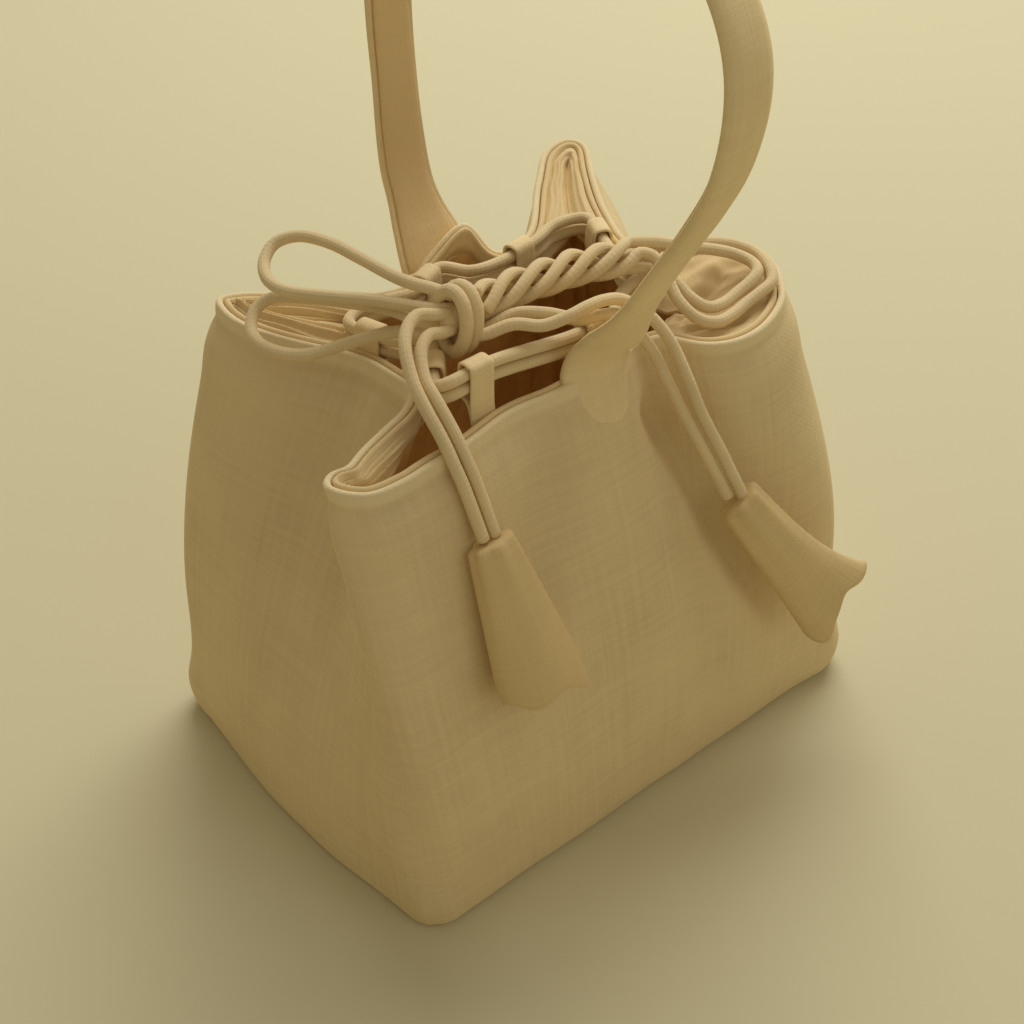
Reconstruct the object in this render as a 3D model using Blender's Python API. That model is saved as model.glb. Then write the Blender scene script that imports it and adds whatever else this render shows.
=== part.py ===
"""Tea set storage bag: a padded cloth bag with a drawn-in mouth, a strap handle and a tied drawcord.

The frame has +Z up, +X along the wide side and -Y towards the front. The origin is on the
surface that the bag stands on, under the middle of its base. Lengths are in metres.
"""

import math

import bmesh
import bpy
import numpy as np
from mathutils import Vector

MM = 0.001

# Base
BASE_WIDTH = 0.150
BASE_DEPTH = 0.110
BASE_CORNER_RADIUS = 0.0085
SIDE_BULGE = 0.0055
BASE_CLOTH_THICKNESS = 0.0008
BOARD_THICKNESS = 0.0020
BASE_PAD_THICKNESS = 0.0020
SEAT_CLEARANCE = 0.0003

# Walls, from the outer cloth through the padding to the lining
RIM_HEIGHT = 0.125
LOBE_LIFT = 0.004
WALL_BULGE = 0.004
OUTER_CLOTH_THICKNESS = 0.0009
PADDING_THICKNESS = 0.0016
LINING_THICKNESS = 0.0007
LAYER_CLEARANCE = 0.0003
SEAM_GAP = 0.0003
WALL_CURVE_EXPONENT = 1.5
WALL_HEIGHT_SHARES = (0.0, 0.1, 0.26, 0.46, 0.66, 0.84, 1.0)

# Rim outline of each wall, from the corner that it starts at: the place across the base
# as shares of half its width and half its depth, and the share of the lobe's lift there.
RIM_SHARES = {
    "front": (
        (-0.947, -0.364, -0.4), (-0.893, -0.500, -0.4), (-0.773, -0.536, -0.3), (-0.640, -0.518, -0.1),
        (-0.480, -0.509, 0.0), (-0.267, -0.509, 0.0), (-0.107, -0.509, 0.0), (0.053, -0.505, 0.0),
        (0.165, -0.500, 0.0), (0.227, -0.573, 0.0), (0.333, -0.691, 0.0), (0.467, -0.736, 0.0),
        (0.613, -0.718, 0.0), (0.747, -0.636, 0.1),
    ),
    "right": (
        (0.847, -0.473, 0.2), (0.887, -0.291, 0.3), (0.833, -0.118, 0.2), (0.720, -0.018, 0.1),
        (0.610, 0.018, 0.0), (0.560, 0.090, 0.0), (0.600, 0.210, 0.1), (0.680, 0.382, 0.4),
        (0.785, 0.618, 0.9), (0.845, 0.818, 1.2),
    ),
    "back": (
        (0.810, 0.918, 1.3), (0.700, 0.909, 1.1), (0.580, 0.790, 0.7), (0.450, 0.630, 0.3),
        (0.320, 0.500, 0.0), (0.200, 0.478, 0.0), (0.120, 0.590, 0.0), (-0.090, 0.600, 0.0),
        (-0.190, 0.545, 0.0), (-0.360, 0.690, 0.0), (-0.507, 0.865, 0.1), (-0.613, 0.970, 0.2),
    ),
    "left": (
        (-0.693, 0.975, 0.3), (-0.707, 0.818, 0.2), (-0.633, 0.545, 0.0), (-0.560, 0.309, 0.0),
        (-0.513, 0.110, 0.0), (-0.507, -0.055, 0.0), (-0.573, -0.172, 0.0), (-0.693, -0.217, -0.1),
        (-0.827, -0.235, -0.3), (-0.920, -0.280, -0.4),
    ),
}

# Tabs that hold the drawcords: the wall, the share of the way along its rim outline, and how
# far the tab stands above the rim, as a share of the tallest one
TAB_PLACES = (
    ("front_left", "front", 0.308, 1.0),
    ("front_right", "front", 0.505, 0.71),
    ("right_front", "right", 0.440, 0.50),
    ("right_back", "right", 0.575, 0.44),
    ("back_right", "back", 0.400, 0.46),
    ("back_left", "back", 0.630, 0.46),
    ("left_back", "left", 0.340, 0.46),
    ("left_front", "left", 0.555, 0.79),
)
TAB_WIDTH = 0.0070
TAB_CLOTH_THICKNESS = 0.0008
TAB_RISE = 0.0140
TAB_SEWN_DEPTH = 0.0065
TAB_SEAT_CLEARANCE = 0.0006
TAB_FOLD_SPARE = 0.0006
TAB_EYE_OVERRUN = 0.0026

# Drawcords
CORD_DIAMETER = 0.0030
CORD_CLEARANCE = 0.0003
CORD_POINT_SPACING = 0.0078
DRAWCORD_POINT_SPACING = 0.0090
DRAWCORD_GAP = 0.0006
CORD_SPACING = CORD_DIAMETER + DRAWCORD_GAP

# Handle
HANDLE_X = 0.001
STRAP_WIDTH = 0.0145
STRAP_ROOT_WIDTH = 0.0215
STRAP_COVER_THICKNESS = 0.0013
STRAP_LINING_THICKNESS = 0.0010
STRAP_SECTION_SPACING = 0.0055
PIVOT_RISE = 0.0110
PIVOT_CLEARANCE = 0.0003
ROOT_RISE = 0.0060
CUTTER_OVERRUN = 0.010
ROOT_TAPER_SHARES = ((0.0, 0.0), (0.5, 0.6), (1.0, 0.9))
ROUND_END_SHARES = (0.9, 0.76, 0.55, 0.3)
STRAP_TIP_HALF_WIDTH = 0.0008

# Strap's middle line from the front rim to the back rim, as (y, height above the rim)
STRAP_ROUTE = (
    (-0.0264, -0.0010), (-0.0292, 0.0065), (-0.0345, 0.0150), (-0.0430, 0.0295), (-0.0505, 0.0425),
    (-0.0565, 0.0530), (-0.0628, 0.0665), (-0.0660, 0.0815), (-0.0645, 0.0940), (-0.0575, 0.1055),
    (-0.0440, 0.1175), (-0.0250, 0.1270), (-0.0020, 0.1320), (0.0190, 0.1275), (0.0355, 0.1150),
    (0.0455, 0.0980), (0.0492, 0.0800), (0.0493, 0.0630), (0.0480, 0.0465), (0.0470, 0.0320),
    (0.0452, 0.0210), (0.0412, 0.0115), (0.0368, 0.0050), (0.0330, -0.0010),
)
# Turn of the strap about its own length at shares of the way along it, in degrees
STRAP_TWIST_SHARES = (
    (0.0, 0.0), (0.1, 0.0), (0.2, -6.0), (0.34, -12.0), (0.45, 4.0), (0.6, 4.0), (0.75, 12.0),
    (0.92, 0.0), (1.0, 0.0),
)

# Bow knot, with its height taken from the rim
KNOT_CENTRE = (-0.0260, -0.0075, 0.0155)
KNOT_RADII = (0.0050, 0.0055, 0.0080)

# Cord routes, in millimetres, with each height taken from the rim
RING_START_ROUTES = (
    ((-27.6, -5.6, 6.2), (-29.6, -4.9, 5.0)),
    ((-28.8, -2.8, 8.4),),
)
RING_ROUTES_AFTER = {
    "left_front": ((-39.9, -18.8, 5.7),),
    "front_right": ((22.0, -13.0, 1.4),),
    "right_back": ((38.4, 22.4, -0.8), (31.0, 23.4, -0.8)),
    "back_right": ((1.0, 19.6, 0.1),),
    "back_left": ((-21.6, 23.8, -0.7), (-30.0, 24.6, -0.6)),
}
RING_END_ROUTES = (
    ((-30.2, 5.4, 0.4), (-28.8, 1.8, 2.5), (-26.4, -1.6, 4.7), (-23.8, -4.4, 5.9)),
    ((-30.2, 5.4, 4.3), (-28.9, 2.2, 6.5), (-26.8, -0.4, 8.2), (-24.2, -2.6, 9.0)),
)
LEFT_LOOP_UPPER_ROUTE = (
    (-28.0, -2.0, 21.6), (-31.3, 5.7, 21.8), (-33.1, 18.6, 22.0), (-34.5, 28.4, 22.0),
    (-37.2, 36.9, 21.0), (-41.8, 40.9, 19.0), (-46.9, 38.4, 17.0), (-49.8, 32.7, 16.0),
    (-48.9, 26.3, 15.8), (-43.0, 17.4, 16.2), (-36.8, 8.0, 17.2), (-30.8, -3.2, 18.2),
)
LEFT_LOOP_LOWER_ROUTE = (
    (-30.4, -3.2, 11.4), (-35.0, 3.0, 10.2), (-39.4, 7.6, 8.4), (-44.3, 11.4, 6.4),
    (-50.4, 15.2, 4.6), (-54.6, 19.9, 3.9), (-57.0, 26.5, 3.9), (-55.6, 33.2, 4.2),
    (-51.2, 37.2, 6.2), (-46.6, 35.6, 8.4), (-43.0, 27.8, 10.6), (-38.0, 18.2, 12.0),
    (-33.8, 7.6, 13.6), (-31.2, -3.8, 14.8),
)
TWIST_ROUTE = (
    (-19.7, -7.6, 16.4), (-12.3, -7.2, 16.4), (-0.5, -7.9, 15.6), (11.6, -8.6, 14.4),
    (20.4, -10.1, 13.2), (26.5, -10.8, 12.4),
)
RIGHT_LOOP_OUTER_ROUTE = (
    (33.4, -9.2, 11.0), (40.0, -10.8, 9.8), (46.4, -11.4, 8.2), (53.4, -12.3, 6.0),
    (58.6, -15.6, 4.6), (60.6, -21.0, 4.0), (58.8, -27.2, 3.6), (55.4, -31.4, 2.8),
    (50.6, -32.0, 1.9), (45.6, -32.2, 1.0), (40.0, -33.0, 0.5), (34.6, -33.0, 0.8),
    (30.4, -30.4, 2.4), (28.6, -25.2, 6.0), (29.4, -20.0, 10.0), (29.2, -16.0, 13.2),
)
RIGHT_LOOP_INNER_ROUTE = (
    (33.0, -11.7, 14.0), (38.6, -13.4, 11.8), (44.0, -14.8, 9.4), (50.2, -16.0, 6.8),
    (54.5, -18.8, 5.2), (56.2, -23.2, 4.4), (54.6, -27.2, 4.2), (51.2, -28.4, 3.4),
    (46.4, -28.6, 2.2), (40.5, -29.2, 1.6), (35.6, -28.4, 2.4), (33.2, -24.4, 4.6),
    (32.6, -19.0, 7.4), (30.2, -14.6, 8.8),
)
TWIST_TURNS = 1.35
TWIST_RADIUS = 0.0032
TWIST_STEPS = 18

# Each tail of the bow runs from the knot to a crossing over the rim, and then drops to its
# tassel. At the crossing both stretches run along the fall direction, with a clearance between.
TAIL_FALL = (0.0, -0.66, -0.75)
CROSSING_RUN = 0.0030
LEFT_TAIL_ROUTES = (
    ((-31.4, -7.0, 18.6), (-35.2, -5.6, 19.4), (-39.6, -7.4, 18.8), (-43.4, -11.4, 17.0),
     (-46.2, -17.4, 13.0), (-46.9, -22.4, 8.9)),
    ((-31.6, -10.0, 15.4), (-35.4, -9.8, 16.2), (-39.8, -12.4, 15.2), (-42.9, -17.5, 12.0),
     (-43.5, -22.4, 8.9)),
)
LEFT_CROSSINGS = ((-46.9, -28.4, 3.4), (-43.5, -28.4, 3.4))
LEFT_DROP_ROUTES = (
    ((-46.7, -33.0, -2.8), (-46.3, -35.6, -7.6), (-45.7, -40.8, -18.6)),
    ((-43.3, -33.0, -2.8), (-42.9, -35.6, -7.8), (-42.3, -40.8, -19.0)),
)
RIGHT_TAIL_ROUTES = (
    ((-21.0, -11.2, 11.6), (-13.6, -13.8, 14.4), (-8.4, -19.4, 15.2), (-2.4, -23.9, 13.2),
     (4.0, -25.0, 12.2), (9.4, -25.8, 9.8)),
    ((-23.4, -13.8, 13.0), (-17.2, -17.6, 15.2), (-12.0, -22.0, 14.8), (-6.2, -24.6, 16.2),
     (-1.6, -25.1, 16.8), (4.0, -25.1, 16.3), (9.4, -25.7, 14.4), (14.0, -29.2, 10.6)),
)
RIGHT_CROSSINGS = ((13.8, -31.5, 1.7), (17.4, -34.0, 3.9))
RIGHT_DROP_ROUTES = (
    ((14.8, -36.4, -5.2), (16.6, -40.6, -13.0), (19.4, -46.2, -23.4), (22.6, -52.4, -35.6)),
    ((18.6, -39.6, -4.8), (20.2, -43.4, -13.6), (22.9, -48.8, -24.0), (26.0, -54.2, -36.0)),
)

# Tassels, each a cone of the bag's cloth, open at its lower end, whose height is taken
# from the rim
TASSEL_CLOTH_THICKNESS = 0.0009
TASSEL_TOP_RADIUS = 0.0055
TASSEL_BOTTOM_RADIUS = 0.0125
TASSEL_TOP_THICKNESS = 0.0030
TASSEL_TOP_DEPTH_SHARE = 0.62
TASSEL_DEPTH_SHARE = 0.50
LEFT_TASSEL_END = (-0.0405, -0.0572, -0.0585)
RIGHT_TASSEL_END = (0.0522, -0.0672, -0.0824)
TASSEL_SIDES = 16
TASSEL_RING_SHARES = (0.0, 0.12, 0.4, 0.7, 1.0)
TASSEL_FLARE_EXPONENT = 0.8

# Colours, as linear RGB
CLOTH_COLOUR = (0.66, 0.58, 0.40)
LINING_COLOUR = (0.70, 0.58, 0.38)
PADDING_COLOUR = (0.80, 0.78, 0.72)
BOARD_COLOUR = (0.45, 0.38, 0.28)
CORD_COLOUR = (0.70, 0.62, 0.43)

WALLS = ("front", "right", "back", "left")
WALL_LAYERS = {
    "panel": (0.0, OUTER_CLOTH_THICKNESS),
    "padding": (
        OUTER_CLOTH_THICKNESS + LAYER_CLEARANCE,
        OUTER_CLOTH_THICKNESS + LAYER_CLEARANCE + PADDING_THICKNESS,
    ),
    "lining": (
        OUTER_CLOTH_THICKNESS + PADDING_THICKNESS + 2 * LAYER_CLEARANCE,
        OUTER_CLOTH_THICKNESS + PADDING_THICKNESS + 2 * LAYER_CLEARANCE + LINING_THICKNESS,
    ),
}
WALL_THICKNESS = WALL_LAYERS["lining"][1]
PIVOT_HEIGHT = RIM_HEIGHT + PIVOT_RISE
WALL_FOOT = BASE_CLOTH_THICKNESS + SEAT_CLEARANCE


def clear_scene():
    """Remove the objects that a new file holds."""
    for item in list(bpy.data.objects):
        bpy.data.objects.remove(item, do_unlink=True)


def make_collection(name):
    collection = bpy.data.collections.new(name)
    bpy.context.scene.collection.children.link(collection)
    return collection


def make_material(name, colour, roughness):
    material = bpy.data.materials.new(name)
    material.use_nodes = True
    shader = material.node_tree.nodes["Principled BSDF"]
    shader.inputs["Base Color"].default_value = (*colour, 1.0)
    shader.inputs["Roughness"].default_value = roughness
    shader.inputs["Metallic"].default_value = 0.0
    return material


def add_mesh(name, verts, faces, material, collection):
    """Make an object from points and faces, with its faces turned outwards and shaded smooth."""
    mesh = bpy.data.meshes.new(name)
    mesh.from_pydata([tuple(v) for v in verts], [], faces)
    shape = bmesh.new()
    shape.from_mesh(mesh)
    bmesh.ops.recalc_face_normals(shape, faces=shape.faces)
    shape.to_mesh(mesh)
    shape.free()
    mesh.shade_smooth()
    mesh.set_sharp_from_angle(angle=math.radians(40))
    item = bpy.data.objects.new(name, mesh)
    item.data.materials.append(material)
    collection.objects.link(item)
    return item


def from_rim(points, unit=1.0):
    """Points in metres, from ones in a unit whose heights are taken from the rim."""
    return np.array(points, dtype=float) * unit + (0.0, 0.0, RIM_HEIGHT)


def curve_through(route, spacing):
    """Read points from a smooth curve through the route's own points, keeping those points."""
    route = np.array(route, dtype=float)
    padded = np.vstack([2 * route[0] - route[1], route, 2 * route[-1] - route[-2]])
    points = [route[0]]
    for start in range(len(route) - 1):
        before, first, second, after = padded[start:start + 4]
        steps = max(1, round(np.linalg.norm(second - first) / spacing))
        for step in range(1, steps + 1):
            t = step / steps
            points.append(0.5 * (
                2 * first + (second - before) * t
                + (2 * before - 5 * first + 4 * second - after) * t ** 2
                + (3 * first - before - 3 * second + after) * t ** 3
            ))
    return np.array(points)


def smooth_points(route, spacing):
    """Read evenly spaced points from a smooth curve through the route's own points."""
    route = np.array(route, dtype=float)
    padded = np.vstack([2 * route[0] - route[1], route, 2 * route[-1] - route[-2]])
    fine = []
    for start in range(len(route) - 1):
        before, first, second, after = padded[start:start + 4]
        for step in range(16):
            t = step / 16
            fine.append(0.5 * (
                2 * first + (second - before) * t
                + (2 * before - 5 * first + 4 * second - after) * t ** 2
                + (3 * first - before - 3 * second + after) * t ** 3
            ))
    fine.append(route[-1])
    fine = np.array(fine)
    lengths = np.concatenate([[0.0], np.cumsum(np.linalg.norm(np.diff(fine, axis=0), axis=1))])
    count = max(2, round(lengths[-1] / spacing))
    marks = np.linspace(0.0, lengths[-1], count + 1)
    return np.stack([np.interp(marks, lengths, fine[:, axis]) for axis in range(3)], axis=1)


def rim_table():
    """Rim points of all four walls in one closed outline, as (x, y, lift)."""
    rows = [row for wall in WALLS for row in RIM_SHARES[wall]]
    table = np.array(rows)
    return table * (BASE_WIDTH / 2, BASE_DEPTH / 2, LOBE_LIFT)


RIM = rim_table()
COLUMN_COUNT = len(RIM)
WALL_START = {}
for wall_name in WALLS:
    WALL_START[wall_name] = sum(len(RIM_SHARES[other]) for other in WALLS[:WALLS.index(wall_name)])


def base_corners():
    half_width = BASE_WIDTH / 2
    half_depth = BASE_DEPTH / 2
    return {
        "front": (np.array((-half_width, -half_depth)), np.array((half_width, -half_depth))),
        "right": (np.array((half_width, -half_depth)), np.array((half_width, half_depth))),
        "back": (np.array((half_width, half_depth)), np.array((-half_width, half_depth))),
        "left": (np.array((-half_width, half_depth)), np.array((-half_width, -half_depth))),
    }


def base_point(wall, share):
    """Point on the base outline, at a share of the way along one side's half corners and run."""
    start, end = base_corners()[wall]
    length = np.linalg.norm(end - start)
    along = (end - start) / length
    inward = np.array((-along[1], along[0]))
    quarter = BASE_CORNER_RADIUS * math.pi / 4
    total = length - 2 * BASE_CORNER_RADIUS + 2 * quarter
    travelled = share * total
    if travelled < quarter:
        angle = math.pi / 4 - travelled / BASE_CORNER_RADIUS
        run = BASE_CORNER_RADIUS * (1 - math.sin(angle))
        rise = BASE_CORNER_RADIUS * (1 - math.cos(angle))
    elif travelled > total - quarter:
        angle = math.pi / 4 - (total - travelled) / BASE_CORNER_RADIUS
        run = length - BASE_CORNER_RADIUS * (1 - math.sin(angle))
        rise = BASE_CORNER_RADIUS * (1 - math.cos(angle))
    else:
        run = BASE_CORNER_RADIUS + travelled - quarter
        rise = 0.0
    bulge = 0.0
    if wall in ("left", "right"):
        bulge = SIDE_BULGE * math.sin(math.pi * run / length)
    return start + along * run + inward * (rise - bulge)


def base_table():
    """Base points under each rim point, as far along each wall as the rim point is."""
    points = []
    for wall in WALLS:
        first = WALL_START[wall]
        count = len(RIM_SHARES[wall])
        run = [RIM[(first + step) % COLUMN_COUNT][:2] for step in range(count + 1)]
        lengths = np.concatenate([[0.0], np.cumsum(np.linalg.norm(np.diff(run, axis=0), axis=1))])
        for step in range(count):
            points.append(base_point(wall, lengths[step] / lengths[-1]))
    return np.array(points)


BASE = base_table()


def outline_at(height_share):
    """Closed outline of the outer face at a share of the wall's height, as (x, y, z)."""
    blend = height_share ** WALL_CURVE_EXPONENT
    plan = BASE + (RIM[:, :2] - BASE) * blend
    swell = WALL_BULGE * math.sin(math.pi * height_share)
    outward = BASE / np.linalg.norm(BASE, axis=1)[:, None]
    plan = plan + outward * swell
    height = WALL_FOOT + (RIM_HEIGHT - WALL_FOOT + RIM[:, 2]) * height_share
    return np.column_stack([plan, height])


def inward_mitres(outline):
    """For each point of a closed outline, the plan step that moves both its sides in by one."""
    plan = outline[:, :2]
    ahead = np.roll(plan, -1, axis=0) - plan
    ahead /= np.linalg.norm(ahead, axis=1)[:, None]
    behind = np.roll(ahead, 1, axis=0)
    normal_ahead = np.column_stack([-ahead[:, 1], ahead[:, 0]])
    normal_behind = np.column_stack([-behind[:, 1], behind[:, 0]])
    total = normal_ahead + normal_behind
    return total / (1 + np.sum(normal_ahead * normal_behind, axis=1))[:, None]


def layer_outline(height_share, depth):
    """Closed outline at a depth inside the outer face."""
    outline = outline_at(height_share)
    outline[:, :2] += inward_mitres(outline) * depth
    return outline


def wall_columns(wall, outline):
    """The points of one wall, with each end drawn in by half the seam's gap."""
    first = WALL_START[wall]
    count = len(RIM_SHARES[wall])
    run = np.array([outline[(first + step) % COLUMN_COUNT] for step in range(count + 1)])
    for end, inner in ((0, 1), (count, count - 1)):
        direction = run[inner] - run[end]
        run[end] = run[end] + direction / np.linalg.norm(direction) * SEAM_GAP / 2
    return run


def add_wall_layer(wall, layer, material, collection):
    """One layer of one wall: an outer and an inner grid joined round their edges."""
    outer_depth, inner_depth = WALL_LAYERS[layer]
    rows = len(WALL_HEIGHT_SHARES)
    verts = []
    for depth in (outer_depth, inner_depth):
        for share in WALL_HEIGHT_SHARES:
            verts.extend(wall_columns(wall, layer_outline(share, depth)))
    columns = len(RIM_SHARES[wall]) + 1
    inner = rows * columns
    faces = []
    for row in range(rows - 1):
        for column in range(columns - 1):
            corner = row * columns + column
            above = corner + columns
            for face in ((corner, corner + 1, above + 1), (corner, above + 1, above)):
                faces.append(face)
                faces.append(tuple(inner + index for index in reversed(face)))
    edge = list(range(columns))
    edge += [row * columns + columns - 1 for row in range(1, rows)]
    edge += [(rows - 1) * columns + column for column in range(columns - 2, -1, -1)]
    edge += [row * columns for row in range(rows - 2, 0, -1)]
    for place, index in enumerate(edge):
        following = edge[(place + 1) % len(edge)]
        faces.append((index, inner + index, inner + following, following))
    return add_mesh(f"{wall}_{layer}", verts, faces, material, collection)


def add_base_layer(name, inset, bottom, thickness, material, collection):
    """A flat sheet of the base's outline, moved in by an inset."""
    outline = outline_at(0.0)
    outline[:, :2] += inward_mitres(outline) * inset
    outline[:, 2] = bottom
    top = outline + (0.0, 0.0, thickness)
    count = len(outline)
    verts = list(outline) + list(top)
    faces = [tuple(reversed(range(count))), tuple(range(count, 2 * count))]
    for index in range(count):
        following = (index + 1) % count
        faces.append((index, following, count + following, count + index))
    return add_mesh(name, verts, faces, material, collection)


def add_ribbon(name, middles, sides, normals, half_widths, faces_at, material, collection):
    """A strip with a four-cornered section at each middle point.

    sides and normals give each section's axes, half_widths its half width at the two faces,
    and faces_at the distance of the two faces from the middle line along the normal.
    """
    verts = []
    for middle, side, normal, halves in zip(middles, sides, normals, half_widths):
        for face, half in zip(faces_at, halves):
            verts.append(middle + normal * face - side * half)
            verts.append(middle + normal * face + side * half)
    faces = []
    last = len(middles) - 1
    for section in range(last):
        low = 4 * section
        high = low + 4
        for first, second in ((0, 1), (1, 3), (3, 2), (2, 0)):
            faces.append((low + first, low + second, high + second, high + first))
    faces.append((0, 2, 3, 1))
    faces.append((4 * last, 4 * last + 1, 4 * last + 3, 4 * last + 2))
    return add_mesh(name, verts, faces, material, collection)


def rim_frame(wall, share):
    """Place on the lining's inner face at the rim, with the inward and the along directions.

    The last value is how far that face moves inwards for each unit of height.
    """
    first = WALL_START[wall]
    place = first + share * len(RIM_SHARES[wall])
    low = int(place)
    part = place - low
    top = layer_outline(1.0, WALL_THICKNESS)
    below = layer_outline(WALL_HEIGHT_SHARES[-2], WALL_THICKNESS)
    start = top[low % COLUMN_COUNT]
    end = top[(low + 1) % COLUMN_COUNT]
    point = start + (end - start) * part
    lower = below[low % COLUMN_COUNT]
    lower = lower + (below[(low + 1) % COLUMN_COUNT] - lower) * part
    along = (end - start) * (1.0, 1.0, 0.0)
    along /= np.linalg.norm(along)
    inward = np.array((-along[1], along[0], 0.0))
    lean = np.dot(point - lower, inward) / (point[2] - lower[2])
    return point, inward, along, lean


def tab_eye_depth():
    """Middle of the tab's eye, measured inwards from the lining."""
    return TAB_SEAT_CLEARANCE + TAB_CLOTH_THICKNESS + CORD_CLEARANCE + CORD_DIAMETER / 2


def tab_eye_height():
    """Height of the tab's eye: two cords, their clearances and the fold's spare length."""
    return CORD_DIAMETER + CORD_SPACING + 2 * CORD_CLEARANCE + 2 * TAB_FOLD_SPARE


def cord_level(cord, rise_share):
    """Height above the rim of the lower (0) and the upper (1) drawcord in a tab."""
    top = TAB_RISE * rise_share - TAB_CLOTH_THICKNESS - TAB_FOLD_SPARE
    return top - CORD_CLEARANCE - CORD_DIAMETER / 2 - (1 - cord) * CORD_SPACING


def add_cord_tab(label, wall, share, rise_share, material, collection):
    """A strip folded over the drawcords, with its two ends sewn flat on the lining."""
    point, inward, along, lean = rim_frame(wall, share)
    rise = TAB_RISE * rise_share
    eye_start = rise - tab_eye_height() - TAB_CLOTH_THICKNESS
    half_cloth = TAB_CLOTH_THICKNESS / 2
    outer = TAB_SEAT_CLEARANCE + half_cloth
    sewn_inner = outer + TAB_CLOTH_THICKNESS + CORD_CLEARANCE
    eye_inner = tab_eye_depth() + CORD_DIAMETER / 2 + CORD_CLEARANCE + half_cloth
    crown = (outer + eye_inner) / 2
    bend = eye_inner - crown
    foot = -TAB_SEWN_DEPTH
    route = [
        (outer + lean * foot, foot), (outer, 0.0), (outer, rise - bend),
        (crown - bend / 2, rise - half_cloth - bend / 6), (crown + bend / 2, rise - half_cloth - bend / 6),
        (eye_inner, rise - bend), (eye_inner, eye_start), (sewn_inner, eye_start - bend),
        (sewn_inner + lean * foot, foot),
    ]
    middles = [point + inward * depth + np.array((0.0, 0.0, height)) for depth, height in route]
    normals = []
    for index, middle in enumerate(middles):
        before = middles[max(index - 1, 0)]
        after = middles[min(index + 1, len(middles) - 1)]
        direction = after - before
        normal = np.cross(direction, along)
        normals.append(normal / np.linalg.norm(normal))
    count = len(middles)
    return add_ribbon(
        f"cord_tab_{label}", middles, [along] * count, normals,
        [(TAB_WIDTH / 2, TAB_WIDTH / 2)] * count, (-half_cloth, half_cloth), material, collection,
    )


def add_cord(name, points, material, collection):
    """A round cord along ready points."""
    curve = bpy.data.curves.new(name, "CURVE")
    curve.dimensions = "3D"
    curve.bevel_depth = CORD_DIAMETER / 2
    curve.bevel_resolution = 2
    curve.use_fill_caps = True
    spline = curve.splines.new("POLY")
    spline.points.add(len(points) - 1)
    for target, point in zip(spline.points, points):
        target.co = (*point, 1.0)
    item = bpy.data.objects.new(name, curve)
    item.data.materials.append(material)
    collection.objects.link(item)
    return item


def ring_route(cord):
    """Route of one drawcord round the mouth, from the knot through every tab's eye and back."""
    lift = np.array((0.0, 0.0, CORD_SPACING * cord))
    route = list(from_rim(RING_START_ROUTES[cord], MM))
    order = TAB_PLACES[-1:] + TAB_PLACES[:-1]
    for label, wall, share, rise_share in order:
        point, inward, along, _ = rim_frame(wall, share)
        eye = point + inward * tab_eye_depth()
        eye = eye + np.array((0.0, 0.0, cord_level(cord, rise_share)))
        reach = along * (TAB_WIDTH / 2 + TAB_EYE_OVERRUN)
        route.append(eye - reach)
        route.append(eye + reach)
        route.extend(from_rim(corner, MM) + lift for corner in RING_ROUTES_AFTER.get(label, ()))
    route.extend(from_rim(RING_END_ROUTES[cord], MM))
    return route


def twist_strand(phase):
    """One strand of the twisted run that leads to the right-hand bow loops."""
    middle = smooth_points(from_rim(TWIST_ROUTE, MM), CORD_DIAMETER)
    marks = np.linspace(0.0, len(middle) - 1, TWIST_STEPS + 1)
    strand = []
    for step, mark in enumerate(marks):
        centre = np.array([np.interp(mark, range(len(middle)), middle[:, axis]) for axis in range(3)])
        ahead = middle[min(int(mark) + 1, len(middle) - 1)] - middle[max(int(mark) - 1, 0)]
        ahead /= np.linalg.norm(ahead)
        side = np.cross(ahead, (0.0, 0.0, 1.0))
        side /= np.linalg.norm(side)
        up = np.cross(side, ahead)
        angle = phase + math.tau * TWIST_TURNS * step / TWIST_STEPS
        strand.append(centre + TWIST_RADIUS * (math.cos(angle) * side + math.sin(angle) * up))
    return strand


def right_loop_route(outgoing_phase, returning_phase, loop_route):
    outgoing = twist_strand(outgoing_phase)
    returning = twist_strand(returning_phase)
    return outgoing + list(from_rim(loop_route, MM)) + returning[::-1]


def add_knot(material, collection):
    """The bow's knot, as the space that its wraps fill."""
    shape = bmesh.new()
    bmesh.ops.create_uvsphere(shape, u_segments=16, v_segments=10, radius=1.0)
    for vert in shape.verts:
        vert.co = Vector(from_rim(KNOT_CENTRE)) + Vector([share * radius for share, radius in zip(vert.co, KNOT_RADII)])
    mesh = bpy.data.meshes.new("bow_knot")
    shape.to_mesh(mesh)
    shape.free()
    mesh.shade_smooth()
    item = bpy.data.objects.new("bow_knot", mesh)
    item.data.materials.append(material)
    collection.objects.link(item)
    return item


def tassel_top(tails, end):
    """Middle of the tassel's top, with a clearance to the nearer of its two cords' ends."""
    middle = (tails[0][-1] + tails[1][-1]) / 2
    ahead = (end - middle) / np.linalg.norm(end - middle)
    reach = 0.0
    for points in tails:
        direction = points[-1] - points[-2]
        direction /= np.linalg.norm(direction)
        tilt = math.sqrt(max(0.0, 1.0 - np.dot(direction, ahead) ** 2))
        reach = max(reach, np.dot(points[-1] - middle, ahead) + tilt * CORD_DIAMETER / 2)
    return middle + ahead * (reach + CORD_CLEARANCE)


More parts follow.
